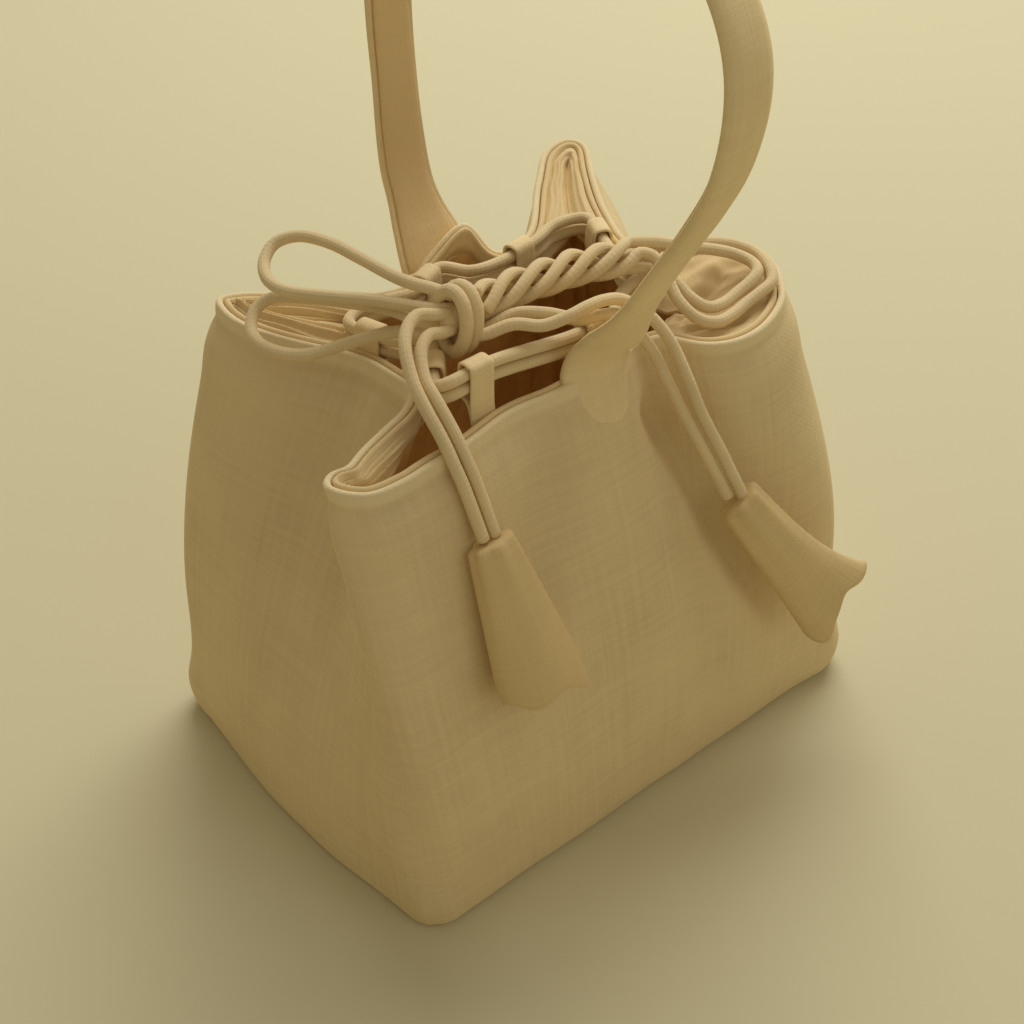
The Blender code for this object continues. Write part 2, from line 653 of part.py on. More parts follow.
def add_tails(side, tail_routes, crossings, drop_routes, end, cord, cloth, collection):
    """The two cords of one tail, each in two stretches, and the tassel on their ends."""
    fall = np.array(TAIL_FALL)
    fall /= np.linalg.norm(fall)
    drops = []
    labels = ("outer", "inner")
    for label, tail_route, crossing, drop_route in zip(labels, tail_routes, crossings, drop_routes):
        place = from_rim(crossing, MM)
        tail = list(from_rim(tail_route, MM))
        tail += [place - fall * CROSSING_RUN, place - fall * CORD_CLEARANCE / 2]
        drop = [place + fall * CORD_CLEARANCE / 2, place + fall * CROSSING_RUN]
        drop += list(from_rim(drop_route, MM))
        drops.append(curve_through(drop, CORD_POINT_SPACING))
        add_cord(f"{side}_tail_{label}", curve_through(tail, CORD_POINT_SPACING), cord, collection)
        add_cord(f"{side}_drop_{label}", drops[-1], cord, collection)
    end = from_rim(end)
    add_tassel(f"{side}_tassel", tassel_top(drops, end), end, cloth, collection)


def add_tassel(name, top, end, material, collection):
    """A cloth cone, closed at its top and open at its lower end, flattened towards the wall."""
    ahead = (end - top) / np.linalg.norm(end - top)
    side = np.cross(ahead, (0.0, 1.0, 0.0))
    side /= np.linalg.norm(side)
    depth = np.cross(side, ahead)
    length = np.linalg.norm(end - top)
    flare = TASSEL_BOTTOM_RADIUS - TASSEL_TOP_RADIUS
    start_share = TASSEL_TOP_THICKNESS / length
    outside = [(share, 0.0) for share in TASSEL_RING_SHARES]
    kept = [share for share in reversed(TASSEL_RING_SHARES) if share > start_share * 2]
    inside = [(share, TASSEL_CLOTH_THICKNESS) for share in (*kept, start_share)]
    verts = []
    for share, depth_in in outside + inside:
        radius = TASSEL_TOP_RADIUS + flare * share ** TASSEL_FLARE_EXPONENT - depth_in
        squash = TASSEL_TOP_DEPTH_SHARE + (TASSEL_DEPTH_SHARE - TASSEL_TOP_DEPTH_SHARE) * share
        for step in range(TASSEL_SIDES):
            angle = math.tau * step / TASSEL_SIDES
            across = math.cos(angle) * radius
            through = math.sin(angle) * radius * squash
            verts.append(top + ahead * length * share + side * across + depth * through)
    faces = []
    rings = len(outside) + len(inside)
    for ring in range(rings - 1):
        for step in range(TASSEL_SIDES):
            following = (step + 1) % TASSEL_SIDES
            low = ring * TASSEL_SIDES
            high = low + TASSEL_SIDES
            faces.append((low + step, low + following, high + following, high + step))
    faces.append(tuple(range(TASSEL_SIDES)))
    faces.append(tuple(reversed(range((rings - 1) * TASSEL_SIDES, rings * TASSEL_SIDES))))
    return add_mesh(name, verts, faces, material, collection)


def strap_limbs():
    """The strap's middle line in two halves, each from its root upwards."""
    route = from_rim([(HANDLE_X, across, height) for across, height in STRAP_ROUTE])
    points = smooth_points(route, STRAP_SECTION_SPACING)
    half = len(points) // 2
    return points[:half], points[:half - 1:-1]


def strap_middles():
    """Middle points of the moving strap, with close ones where its ends are round."""
    limbs = strap_limbs()
    points = np.vstack([limbs[0], limbs[1][::-1]])
    ends = []
    for limb in limbs:
        heights = [PIVOT_HEIGHT - STRAP_WIDTH / 2 * share for share in ROUND_END_SHARES]
        places = [np.interp(heights, limb[:, 2], limb[:, axis]) for axis in range(3)]
        ends.append(np.stack(places, axis=1))
    above = points[points[:, 2] > PIVOT_HEIGHT]
    return np.vstack([ends[0], above, ends[1][::-1]])


def strap_frames():
    """Middle points of the moving strap with its side and outward directions."""
    points = strap_middles()
    runs = np.linalg.norm(np.diff(points, axis=0), axis=1)
    shares = np.concatenate([[0.0], np.cumsum(runs)]) / np.sum(runs)
    marks, turns = zip(*STRAP_TWIST_SHARES)
    level = np.array((1.0, 0.0, 0.0))
    sides = []
    normals = []
    for index, share in enumerate(shares):
        ahead = points[min(index + 1, len(points) - 1)] - points[max(index - 1, 0)]
        ahead /= np.linalg.norm(ahead)
        turn = math.radians(np.interp(share, marks, turns))
        side = level * math.cos(turn) - np.cross(ahead, level) * math.sin(turn)
        sides.append(side)
        normals.append(np.cross(side, ahead))
    return points, sides, normals


def strap_half_width(height):
    """Half width of the moving strap: round about the pivot below it, straight above."""
    below = max(PIVOT_HEIGHT - height, 0.0)
    return math.sqrt(max((STRAP_WIDTH / 2) ** 2 - below ** 2, STRAP_TIP_HALF_WIDTH ** 2))


def add_strap_layer(name, faces_at, material, collection):
    """One layer of the moving strap, from the round end on one root to the one on the other."""
    middles, sides, normals = strap_frames()
    halves = []
    for middle, normal in zip(middles, normals):
        halves.append(tuple(strap_half_width((middle + normal * face)[2]) for face in faces_at))
    return add_ribbon(name, middles, sides, normals, halves, faces_at, material, collection)


def add_strap_root(name, at_front, cutter, material, collection):
    """The flared end of the strap on the rim, hollowed for the moving strap's round end."""
    _, across, heights = strap_limbs()[0 if at_front else 1].T
    base = RIM_HEIGHT + SEAT_CLEARANCE
    top = base + ROOT_RISE
    middles = []
    widths = []
    for share, taper in ROOT_TAPER_SHARES:
        height = base + (top - base) * share
        middles.append(np.array((HANDLE_X, np.interp(height, heights, across), height)))
        widths.append((STRAP_ROOT_WIDTH + (STRAP_WIDTH - STRAP_ROOT_WIDTH) * taper) / 2)
    side = np.array((1.0, 0.0, 0.0))
    upright = np.array((0.0, -1.0 if at_front else 1.0, 0.0))
    faces_at = (-STRAP_LINING_THICKNESS - LAYER_CLEARANCE, STRAP_COVER_THICKNESS)
    root = add_ribbon(
        name, middles, [side] * 3, [upright] * 3, [(width, width) for width in widths],
        faces_at, material, collection,
    )
    hollow = root.modifiers.new("pivot_hollow", "BOOLEAN")
    hollow.operation = "DIFFERENCE"
    hollow.solver = "EXACT"
    hollow.object = cutter
    return root


def add_pivot_cutter(collection):
    """Cylinder along the handle's swing axis."""
    reach = max(abs(y) for y, _ in STRAP_ROUTE) + CUTTER_OVERRUN
    bpy.ops.mesh.primitive_cylinder_add(
        vertices=48, radius=STRAP_WIDTH / 2 + PIVOT_CLEARANCE, depth=2 * reach,
        location=(HANDLE_X, 0.0, PIVOT_HEIGHT), rotation=(math.pi / 2, 0.0, 0.0),
    )
    cutter = bpy.context.object
    cutter.name = "handle_pivot_cutter"
    cutter.hide_render = True
    cutter.display_type = "WIRE"
    for other in list(cutter.users_collection):
        other.objects.unlink(cutter)
    collection.objects.link(cutter)
    return cutter


def main():
    clear_scene()
    bag = make_collection("tea_set_storage_bag")
    cutters = make_collection("cutters")

    cloth = make_material("undyed_cotton", CLOTH_COLOUR, 0.9)
    lining = make_material("cotton_lining", LINING_COLOUR, 0.9)
    padding = make_material("cotton_wadding", PADDING_COLOUR, 0.95)
    board = make_material("stiffening_board", BOARD_COLOUR, 0.8)
    cord = make_material("cotton_cord", CORD_COLOUR, 0.85)
    layer_materials = {"panel": cloth, "padding": padding, "lining": lining}

    for wall in WALLS:
        for layer, material in layer_materials.items():
            add_wall_layer(wall, layer, material, bag)

    inset = WALL_THICKNESS + SEAT_CLEARANCE
    board_bottom = BASE_CLOTH_THICKNESS + SEAT_CLEARANCE
    pad_bottom = board_bottom + BOARD_THICKNESS + SEAT_CLEARANCE
    lining_bottom = pad_bottom + BASE_PAD_THICKNESS + SEAT_CLEARANCE
    add_base_layer("base_panel", 0.0, 0.0, BASE_CLOTH_THICKNESS, cloth, bag)
    add_base_layer("base_board", inset, board_bottom, BOARD_THICKNESS, board, bag)
    add_base_layer("base_padding", inset, pad_bottom, BASE_PAD_THICKNESS, padding, bag)
    add_base_layer("base_lining", inset, lining_bottom, LINING_THICKNESS, lining, bag)

    for label, wall, share, rise_share in TAB_PLACES:
        add_cord_tab(label, wall, share, rise_share, cloth, bag)

    cutter = add_pivot_cutter(cutters)
    add_strap_root("handle_root_front", True, cutter, cloth, bag)
    add_strap_root("handle_root_back", False, cutter, cloth, bag)
    add_strap_layer("handle_strap_cover", (0.0, STRAP_COVER_THICKNESS), cloth, bag)
    inner_face = -STRAP_LINING_THICKNESS - LAYER_CLEARANCE
    add_strap_layer("handle_strap_lining", (inner_face, -LAYER_CLEARANCE), lining, bag)

    add_knot(cord, bag)
    spacing = CORD_POINT_SPACING
    add_cord("drawcord_lower", curve_through(ring_route(0), DRAWCORD_POINT_SPACING), cord, bag)
    add_cord("drawcord_upper", curve_through(ring_route(1), DRAWCORD_POINT_SPACING), cord, bag)
    left_upper = from_rim(LEFT_LOOP_UPPER_ROUTE, MM)
    left_lower = from_rim(LEFT_LOOP_LOWER_ROUTE, MM)
    add_cord("left_bow_loop_upper", smooth_points(left_upper, spacing), cord, bag)
    add_cord("left_bow_loop_lower", smooth_points(left_lower, spacing), cord, bag)
    outer = right_loop_route(math.pi / 2, -math.pi / 2, RIGHT_LOOP_OUTER_ROUTE)
    inner = right_loop_route(0.0, math.pi, RIGHT_LOOP_INNER_ROUTE)
    add_cord("right_bow_loop_outer", smooth_points(outer, spacing / 2), cord, bag)
    add_cord("right_bow_loop_inner", smooth_points(inner, spacing / 2), cord, bag)
    left_tails = (LEFT_TAIL_ROUTES, LEFT_CROSSINGS, LEFT_DROP_ROUTES)
    right_tails = (RIGHT_TAIL_ROUTES, RIGHT_CROSSINGS, RIGHT_DROP_ROUTES)
    add_tails("left", *left_tails, LEFT_TASSEL_END, cord, cloth, bag)
    add_tails("right", *right_tails, RIGHT_TASSEL_END, cord, cloth, bag)


main()
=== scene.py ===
"""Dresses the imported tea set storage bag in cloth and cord, and sets up its floor, lamps and camera."""

import math

import bpy
import numpy as np
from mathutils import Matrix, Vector


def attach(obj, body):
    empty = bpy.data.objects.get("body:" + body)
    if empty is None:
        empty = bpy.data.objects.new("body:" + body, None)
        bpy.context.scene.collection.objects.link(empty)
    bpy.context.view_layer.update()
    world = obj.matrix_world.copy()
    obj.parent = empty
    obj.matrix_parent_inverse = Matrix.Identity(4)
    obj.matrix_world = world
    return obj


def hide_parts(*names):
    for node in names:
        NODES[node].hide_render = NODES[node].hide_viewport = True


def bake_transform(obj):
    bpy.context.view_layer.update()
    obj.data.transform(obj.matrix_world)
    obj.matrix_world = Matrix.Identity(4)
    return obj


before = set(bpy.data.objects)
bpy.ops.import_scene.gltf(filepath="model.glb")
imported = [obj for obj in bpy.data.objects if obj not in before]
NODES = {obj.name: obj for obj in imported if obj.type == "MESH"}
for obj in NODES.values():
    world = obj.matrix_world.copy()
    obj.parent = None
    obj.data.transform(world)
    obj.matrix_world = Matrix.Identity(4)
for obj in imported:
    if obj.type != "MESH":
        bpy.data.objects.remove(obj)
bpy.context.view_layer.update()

bl_info = {
    "name": "Tea set storage bag",
    "version": (1, 0, 0),
    "blender": (4, 5, 0),
    "location": "3D View > Sidebar > Tea Bag",
    "description": "Builds the cloth, cords, tassels and stage of a drawstring bag for a tea set",
    "category": "Add Mesh",
}

MM = 0.001

# The rim's outline, from the front wall's left corner round to the right: the place across
# the base as shares of half its width and half its depth, and the share of the lobe's lift.
WALLS = ("front", "right", "back", "left")
RIM_SHARES = {
    "front": (
        (-0.947, -0.364, -0.4), (-0.893, -0.500, -0.4), (-0.773, -0.536, -0.3), (-0.640, -0.518, -0.1),
        (-0.480, -0.509, 0.0), (-0.267, -0.509, 0.0), (-0.107, -0.509, 0.0), (0.053, -0.505, 0.0),
        (0.165, -0.500, 0.0), (0.227, -0.573, 0.0), (0.333, -0.691, 0.0), (0.467, -0.736, 0.0),
        (0.613, -0.718, 0.0), (0.747, -0.636, 0.1),
    ),
    "right": (
        (0.847, -0.473, 0.2), (0.887, -0.291, 0.3), (0.833, -0.118, 0.2), (0.720, -0.018, 0.1),
        (0.610, 0.018, 0.0), (0.560, 0.090, 0.0), (0.600, 0.210, 0.1), (0.680, 0.382, 0.4),
        (0.785, 0.618, 0.9), (0.845, 0.818, 1.2),
    ),
    "back": (
        (0.810, 0.918, 1.3), (0.700, 0.909, 1.1), (0.580, 0.790, 0.7), (0.450, 0.630, 0.3),
        (0.320, 0.500, 0.0), (0.200, 0.478, 0.0), (0.120, 0.590, 0.0), (-0.090, 0.600, 0.0),
        (-0.190, 0.545, 0.0), (-0.360, 0.690, 0.0), (-0.507, 0.865, 0.1), (-0.613, 0.970, 0.2),
    ),
    "left": (
        (-0.693, 0.975, 0.3), (-0.707, 0.818, 0.2), (-0.633, 0.545, 0.0), (-0.560, 0.309, 0.0),
        (-0.513, 0.110, 0.0), (-0.507, -0.055, 0.0), (-0.573, -0.172, 0.0), (-0.693, -0.217, -0.1),
        (-0.827, -0.235, -0.3), (-0.920, -0.280, -0.4),
    ),
}
WALL_START = {
    wall: sum(len(RIM_SHARES[other]) for other in WALLS[:index]) for index, wall in enumerate(WALLS)
}
COLUMN_COUNT = sum(len(rows) for rows in RIM_SHARES.values())

# Tabs that hold the drawcords: the wall, the share of the way along its rim, and how far the
# tab stands above the rim, as a share of the tallest one
TAB_PLACES = (
    ("front_left", "front", 0.308, 1.0),
    ("front_right", "front", 0.505, 0.71),
    ("right_front", "right", 0.440, 0.50),
    ("right_back", "right", 0.575, 0.44),
    ("back_right", "back", 0.400, 0.46),
    ("back_left", "back", 0.630, 0.46),
    ("left_back", "left", 0.340, 0.46),
    ("left_front", "left", 0.555, 0.79),
)

# Layers of the wall, as depths from its outer face, and of the base, as heights
RIM_HEIGHT = 0.125
LOBE_LIFT = 0.004
WALL_BULGE = 0.004
WALL_CURVE_EXPONENT = 1.5
WALL_FOOT = 0.0011
WALL_THICKNESS = 0.0038
BASE_CORNER_RADIUS = 0.0085
SIDE_BULGE = 0.0055
OUTER_EDGE = 0.0019
BASE_CORNERS = ((-1, -1), (1, -1), (1, 1), (-1, 1))
WADDING_DEPTHS = (0.0021, 0.0022)
LINING_DEPTHS = (0.0021, 0.0038)
BASE_EDGE_RADIUS = 0.0026
BASE_CLOTH = 0.0008
BASE_LINING_HEIGHTS = (0.0057, 0.0064)
# How far the base's skins reach in from their edge, as shares of its size
BOTTOM_SHARES, FLOOR_SHARES = (0.0, 0.35, 0.7, 0.9, 0.97), (0.99, 0.9, 0.6, 0.0)
LINING_BOTTOM_SHARES, LINING_FLOOR_SHARES = (0.0, 0.5, 0.97), (0.985, 0.8, 0.5, 0.0)
COLUMNS_PER_POINT = 8
OUTER_ROWS, LINING_ROWS, LINING_EDGE_START = 76, 40, 24
RIM_EDGE_STEPS, FOOT_EDGE_STEPS = 7, 5
INWARD_ROUNDS, REACH_ROUNDS, AIM_ROUNDS = 10, 12, 24
WADDING_SHARES = np.linspace(0.06, 0.9, 20)
CURVE_STEPS = 24
MERGE_DISTANCE = 1e-6
# How worn and pale the outer cloth is at the rolled rim and the foot, and how far the lining's rim and fill
# turn from its painted glow to the outer cloth's colour in painted shade
RIM_WEAR, FOOT_WEAR, LINING_SHADED_CLOTH_SHARE = 0.55, 0.25, 0.8
# Slow ripples all over the outer cloth: how many, and how high together
RIPPLE_COUNT = 14
RIPPLE_HEIGHT = 0.00062
RIPPLE_SEED = 11
RIPPLE_TURNS, RIPPLE_RISE = (4, 17), (1.5, 7.0)

# Soft folds that run down from the rim: the rim point that each one's middle passes at the
# listed heights, its half width on either side in rim points, the height share that it fades
# out at, and how far it stands out or in
FOLD_SHARES = (0.0, 0.19, 0.48, 0.68, 0.8, 0.87, 1.0)
FOLDS = (
    ((13.4, 11.9, 10.0, 9.1, 8.3, 8.0, 8.2), 0.34, 2.0, 0.10, -0.0078),
    ((15.0, 14.4, 13.0, 12.0, 11.4, 11.1, 10.8), 1.2, 1.2, 0.2, 0.0016),
    ((0.3, 0.3, 0.5, 0.3, 0.1, 0.0, 0.0), 0.6, 0.8, 0.2, 0.0015),
    ((44.0, 44.0, 44.2, 44.3, 44.4, 44.4, 44.4), 1.0, 0.5, 0.25, -0.0028),
    ((2.4, 2.6, 2.9, 3.1, 3.2, 3.3, 3.4), 0.7, 0.7, 0.35, 0.0011),
    ((3.9, 4.0, 4.2, 4.4, 4.5, 4.6, 4.7), 0.5, 0.6, 0.4, -0.0014),
    ((17.5,) * 7, 0.7, 0.7, 0.4, -0.0009),
    ((19.5,) * 7, 0.5, 0.5, 0.2, 0.0010),
    ((28.0, 27.9, 27.7, 27.6, 27.5, 27.5, 27.5), 0.7, 0.7, 0.2, -0.0011),
    ((30.0,) * 7, 0.8, 0.8, 0.4, 0.0008),
    ((33.0,) * 7, 0.6, 0.6, 0.3, -0.0009),
    ((37.8, 37.7, 37.6, 37.5, 37.5, 37.5, 37.5), 0.6, 0.6, 0.3, 0.0010),
    ((39.6, 39.5, 39.4, 39.4, 39.4, 39.4, 39.4), 0.8, 0.8, 0.2, -0.0014),
    ((41.0, 41.0, 41.1, 41.2, 41.2, 41.2, 41.2), 0.6, 0.6, 0.2, -0.0009),
)
# The wall's profile under the rolled rim: distance below it, half height, and stand
RIM_PROFILE = ((0.0012, 0.0015, 0.0003), (0.0042, 0.0015, -0.0006), (0.0120, 0.0060, 0.0008))
# The rim point under the strap, where the wall stays smooth, and how far round it, from which
# height shares, and how smooth
STRAP_COLUMN = 7.1
SMOOTH_WIDTH, SMOOTH_FROM, SMOOTHNESS = 1.6, (0.82, 0.93), 0.9
# The soft corners at the base: rim point, half width and stand
CORNER_PUFFS = ((0.0, 0.8, 0.0012), (14.0, 0.9, 0.0026), (24.0, 0.9, 0.0018), (36.0, 0.9, 0.0026))
# Their profile up the wall: size, height share and half height
PUFF_PROFILE = ((1.0, 0.06, 0.07), (-0.3, 0.24, 0.10))
# Where the rim is pulled up: rim point, half width and lift
RIM_TENTS = ((30.0, 0.62, 0.0080),)
# Where the rim leans into its lobe: rim point, half width and lean
RIM_LEANS = ((21.6, 1.3, 0.0030), (24.1, 1.1, -0.0024))
# The height shares from which the rim is pulled up, and from which it leans
TENT_FROM, LEAN_FROM = 0.84, 0.90

# Where the drawn-in lining fills a lobe just below the rim: the lobe's middle and half width
# in rim points, how far the fill lies below the rim, how far each side of it swells up, the
# height of its ripples, and the longest reach
LOBE_FILLS = (
    (-0.25, 2.9, 0.0034, 0.0010, 0.0005, 0.009), (13.9, 5.2, 0.0044, 0.0010, 0.0002, 0.019),
    (24.0, 3.9, 0.0016, 0.0024, 0.0002, 0.024), (36.0, 3.3, -0.0004, 0.0024, 0.0007, 0.020),
)
# Height shares where the fill starts, lies and ends, and the rows of its two parts and below
FILL_TOP, FILL_LOW, FILL_END = 0.985, 0.955, 0.86
SHELF_ROWS, FALL_ROWS, DEEP_ROWS = 30, 13, 31
# How softly a lobe's fill ends, in rim points inside and outside its half width
LOBE_FADE = (0.7, 0.5)
# Creases that fan out over the right lobe's fill, from a point at its root
FAN_ROOT = (0.019, -0.024)
FAN_COUNT = 22.0
FAN_HEIGHT = 0.0011
FAN_REACH = (3.6, 4.8)
# Upright pleats in the lining below the rim
PLEAT_DEPTH = 0.0010

# Drawcords and tabs
CORD_CLEARANCE = 0.0003
DRAWCORD_GAP = 0.0006
TAB_WIDTH = 0.0070
TAB_CLOTH = 0.0008
TAB_RISE = 0.0140
TAB_SEWN_DEPTH = 0.0065
TAB_SEAT_CLEARANCE = 0.0006
TAB_FOLD_SPARE = 0.0006
TAB_EYE_OVERRUN = 0.0026
# How much wider a tab is at its two ends, and narrower in its middle
TAB_FLARE = 0.05
# The wall's height share from which a tab's lean is taken
TAB_LEAN_SHARE = 0.84
STRIP_EDGE_STEPS, STRIP_FACE_POINTS = 4, 5
TAB_STEP = 0.0007
CORD_STEP = 0.0012
CORD_SIDES = 14
END_BULGE = 0.0004
# The rounded end of a sweep: each ring's size and bulge as shares
END_RINGS = ((0.0, 1.0), (0.7, 0.8))

# Handle
HANDLE_X = 0.001
STRAP_COVER = 0.0013
STRAP_LINING = 0.0010
LAYER_CLEARANCE = 0.0003
ROOT_WIDTH = 0.0215
ROOT_RUN = 0.022
STRAP_STEP = 0.002
STRAP_PADDING = 0.00025
STRAP_CROWN = 0.0003
STRAP_EDGE_ROLL = 0.0009
STRAP_LINING_INSET = 0.0015
# Slow waves in the strap's width: height, length and phase
STRAP_WAVES = ((0.0002, 0.013, 0.0), (0.00015, 0.0071, 1.0))
# How far the strap's lining turns from the lining's painted glow to the outer cloth's colour in painted shade
STRAP_LINING_SHADED_CLOTH_SHARE = 0.65
# The strap's middle line above the rim, as millimetres back from the middle and up from the rim
STRAP_ROUTE = (
    (-26.6, 0.6), (-27.6, 3.6), (-29.2, 6.5), (-34.5, 15.0), (-43.0, 29.5), (-50.5, 42.5), (-56.5, 53.0),
    (-62.8, 66.5), (-66.0, 81.5), (-64.5, 94.0), (-57.5, 105.5), (-44.0, 117.5), (-25.0, 127.0),
    (-2.0, 132.0), (19.0, 127.5), (35.5, 115.0), (45.5, 98.0), (49.2, 80.0), (49.3, 63.0),
    (48.0, 46.5), (47.0, 32.0), (45.2, 21.0), (41.2, 11.5), (36.8, 5.0), (33.0, -1.0),
)
# How far the strap is turned about its own line: the share of its length, and degrees
STRAP_TWIST = (
    (0.0, 0.0), (0.025, 14.0), (0.045, 15.0), (0.07, 1.0), (0.095, -5.0), (0.2, -6.0), (0.34, -12.0),
    (0.45, 4.0), (0.6, 4.0), (0.75, 12.0), (0.92, 0.0), (1.0, 0.0),
)
# The strap's skirt on the front wall: distance below the rim, and how far its route lies
# behind the wall's face, in millimetres
STRAP_SKIRT = ((18.0, 2.8), (15.0, 2.2), (11.0, 1.75), (7.0, 1.45), (3.0, 1.35))
SKIRT_SPREAD = 0.0030
# Stretches along the strap, from the rim, over which the skirt spreads, its edges lie down into
# the wall, and its right half is cut narrower
SKIRT_RUN, SKIRT_EDGE_RUN, SKIRT_CUT_RUN = (0.002, -0.016), (0.005, -0.006), (0.003, -0.010)
SKIRT_EDGE_DEPTH, SKIRT_CUT = 0.0012, 0.34
FACE_STEPS = 4

# Cord routes, in millimetres, with each height taken from the rim
KNOT_CENTRE = (-26.0, -7.5, 15.5)
# The knot's wraps: turns from and to, the place of the first along X, the gap between two,
# and half their depth and height, all in millimetres, and how far they lean
KNOT_TURNS = (-0.1, 1.9)
KNOT_FIRST, KNOT_PITCH = -2.4, 3.0
KNOT_HALF_DEPTH, KNOT_HALF_HEIGHT = 5.3, 7.6
KNOT_LEAN = 0.16
KNOT_SWAY = 0.4
KNOT_START = 0.9
KNOT_POINTS = 52
KNOT_WRAP_SIZE, KNOT_FILLING_SIZE = 1.12, 2.4
KNOT_CROSSING = (
    (-29.0, -6.2, 14.8), (-27.0, -7.2, 15.2), (-25.0, -7.6, 15.8), (-22.5, -7.6, 16.4), (-20.0, -7.6, 16.6),
)
RING_START_ROUTES = (
    ((-27.6, -5.6, 6.2), (-29.6, -4.9, 5.0)),
    ((-28.8, -2.8, 8.4),),
)
RING_ROUTES_AFTER = {
    "left_front": ((-39.9, -18.8, 5.7),),
    "front_right": ((22.0, -13.0, 1.4),),
    "right_back": ((38.4, 22.4, -0.8), (31.0, 23.4, -0.8)),
    "back_right": ((1.0, 19.6, 0.1),),
    "back_left": ((-21.6, 23.8, -0.7), (-30.0, 24.6, -0.6)),
}
RING_END_ROUTES = (
    ((-30.2, 5.4, 0.4), (-28.8, 1.8, 2.5), (-26.4, -1.6, 4.7), (-23.8, -4.4, 5.9)),
    ((-30.2, 5.4, 4.3), (-28.9, 2.2, 6.5), (-26.8, -0.4, 8.2), (-24.2, -2.6, 9.0)),
)
LEFT_LOOP_UPPER = (
    (-25.5, -6.2, 20.8), (-28.0, -2.0, 21.6), (-31.3, 5.7, 21.8), (-33.1, 18.6, 22.0), (-34.5, 28.4, 22.0),
    (-37.2, 36.9, 21.0), (-41.8, 40.9, 19.0), (-46.9, 38.4, 17.0), (-49.8, 32.7, 16.0),
    (-48.9, 26.3, 15.8), (-43.0, 17.4, 16.2), (-36.8, 8.0, 17.2), (-30.8, -3.2, 18.2),
    (-26.0, -6.8, 17.8),
)
LEFT_LOOP_LOWER = (
    (-26.0, -6.8, 12.2), (-30.4, -3.2, 11.4), (-35.0, 3.0, 10.2), (-39.4, 7.6, 8.4), (-44.3, 11.4, 6.4),
    (-50.4, 15.2, 4.6), (-54.6, 19.9, 3.9), (-57.0, 26.5, 3.9), (-55.6, 33.2, 4.2),
    (-51.2, 37.2, 6.2), (-46.6, 35.6, 8.4), (-43.0, 27.8, 10.6), (-38.0, 18.2, 12.0),
    (-33.8, 7.6, 13.6), (-31.2, -3.8, 14.8), (-26.0, -7.0, 15.0),
)
TWIST_ROUTE = (
    (-19.7, -7.6, 16.4), (-12.3, -7.2, 16.4), (-0.5, -7.9, 15.6), (11.6, -8.6, 14.4),
    (20.4, -10.1, 13.2), (26.5, -10.8, 12.4),
)
RIGHT_LOOP_OUTER = (
    (33.4, -9.2, 11.0), (40.0, -10.8, 9.8), (46.4, -11.4, 8.2), (53.4, -12.3, 6.0),
    (58.6, -15.6, 4.6), (60.6, -21.0, 4.0), (58.8, -27.2, 3.6), (55.4, -31.4, 2.8),
    (50.6, -32.0, 1.9), (45.6, -32.2, 1.0), (40.0, -33.0, 0.5), (34.6, -33.0, 0.8),
    (30.4, -30.4, 2.4), (28.6, -25.2, 6.0), (29.4, -20.0, 10.0), (29.2, -16.0, 13.2),
)
RIGHT_LOOP_INNER = (
    (33.0, -11.7, 14.0), (38.6, -13.4, 11.8), (44.0, -14.8, 9.4), (50.2, -16.0, 6.8),
    (54.5, -18.8, 5.2), (56.2, -23.2, 4.4), (54.6, -27.2, 4.2), (51.2, -28.4, 3.4),
    (46.4, -28.6, 2.2), (40.5, -29.2, 1.6), (35.6, -28.4, 2.4), (33.2, -24.4, 4.6),
    (32.6, -19.0, 7.4), (30.2, -14.6, 8.8),
)
TWIST_TURNS = 1.35
TWIST_RADIUS = 0.0032
TWIST_POINT_GAP = 0.003
TWIST_STEPS = 18

# Each side's tassel and tail. Routes and ends are in millimetres from the rim's height. The
# cloth is as wide at its root as twice the root's radius, and flares by so much at the share of
# its length where it is widest. The tilt shortens the hem's left side by a share of the length.
# Each bump of the hem is a place round it and its half width in radians, and how far it stands
# out and hangs down there.
TASSEL_CLOTH = 0.0009
TASSEL_ROOT_RADIUS = 0.0058
TASSEL_SIDES = 72
# How far the inside of a tassel takes the lining's colour, which carries painted glow
TASSEL_INSIDE_GLOW_SHARE = 0.9
TASSEL_GATHER, TASSEL_WAVE, HEM_WAVE = 0.00035, 0.0006, 0.0010
# The rounded top: shares of the length, and how far each ring lies in from the cloth
TASSEL_SHOULDER = ((0.0, 0.0035), (0.0, 0.0012), (0.006, 0.0004), (0.02, 0.0))
TASSEL_TOP_RISE = 0.0002
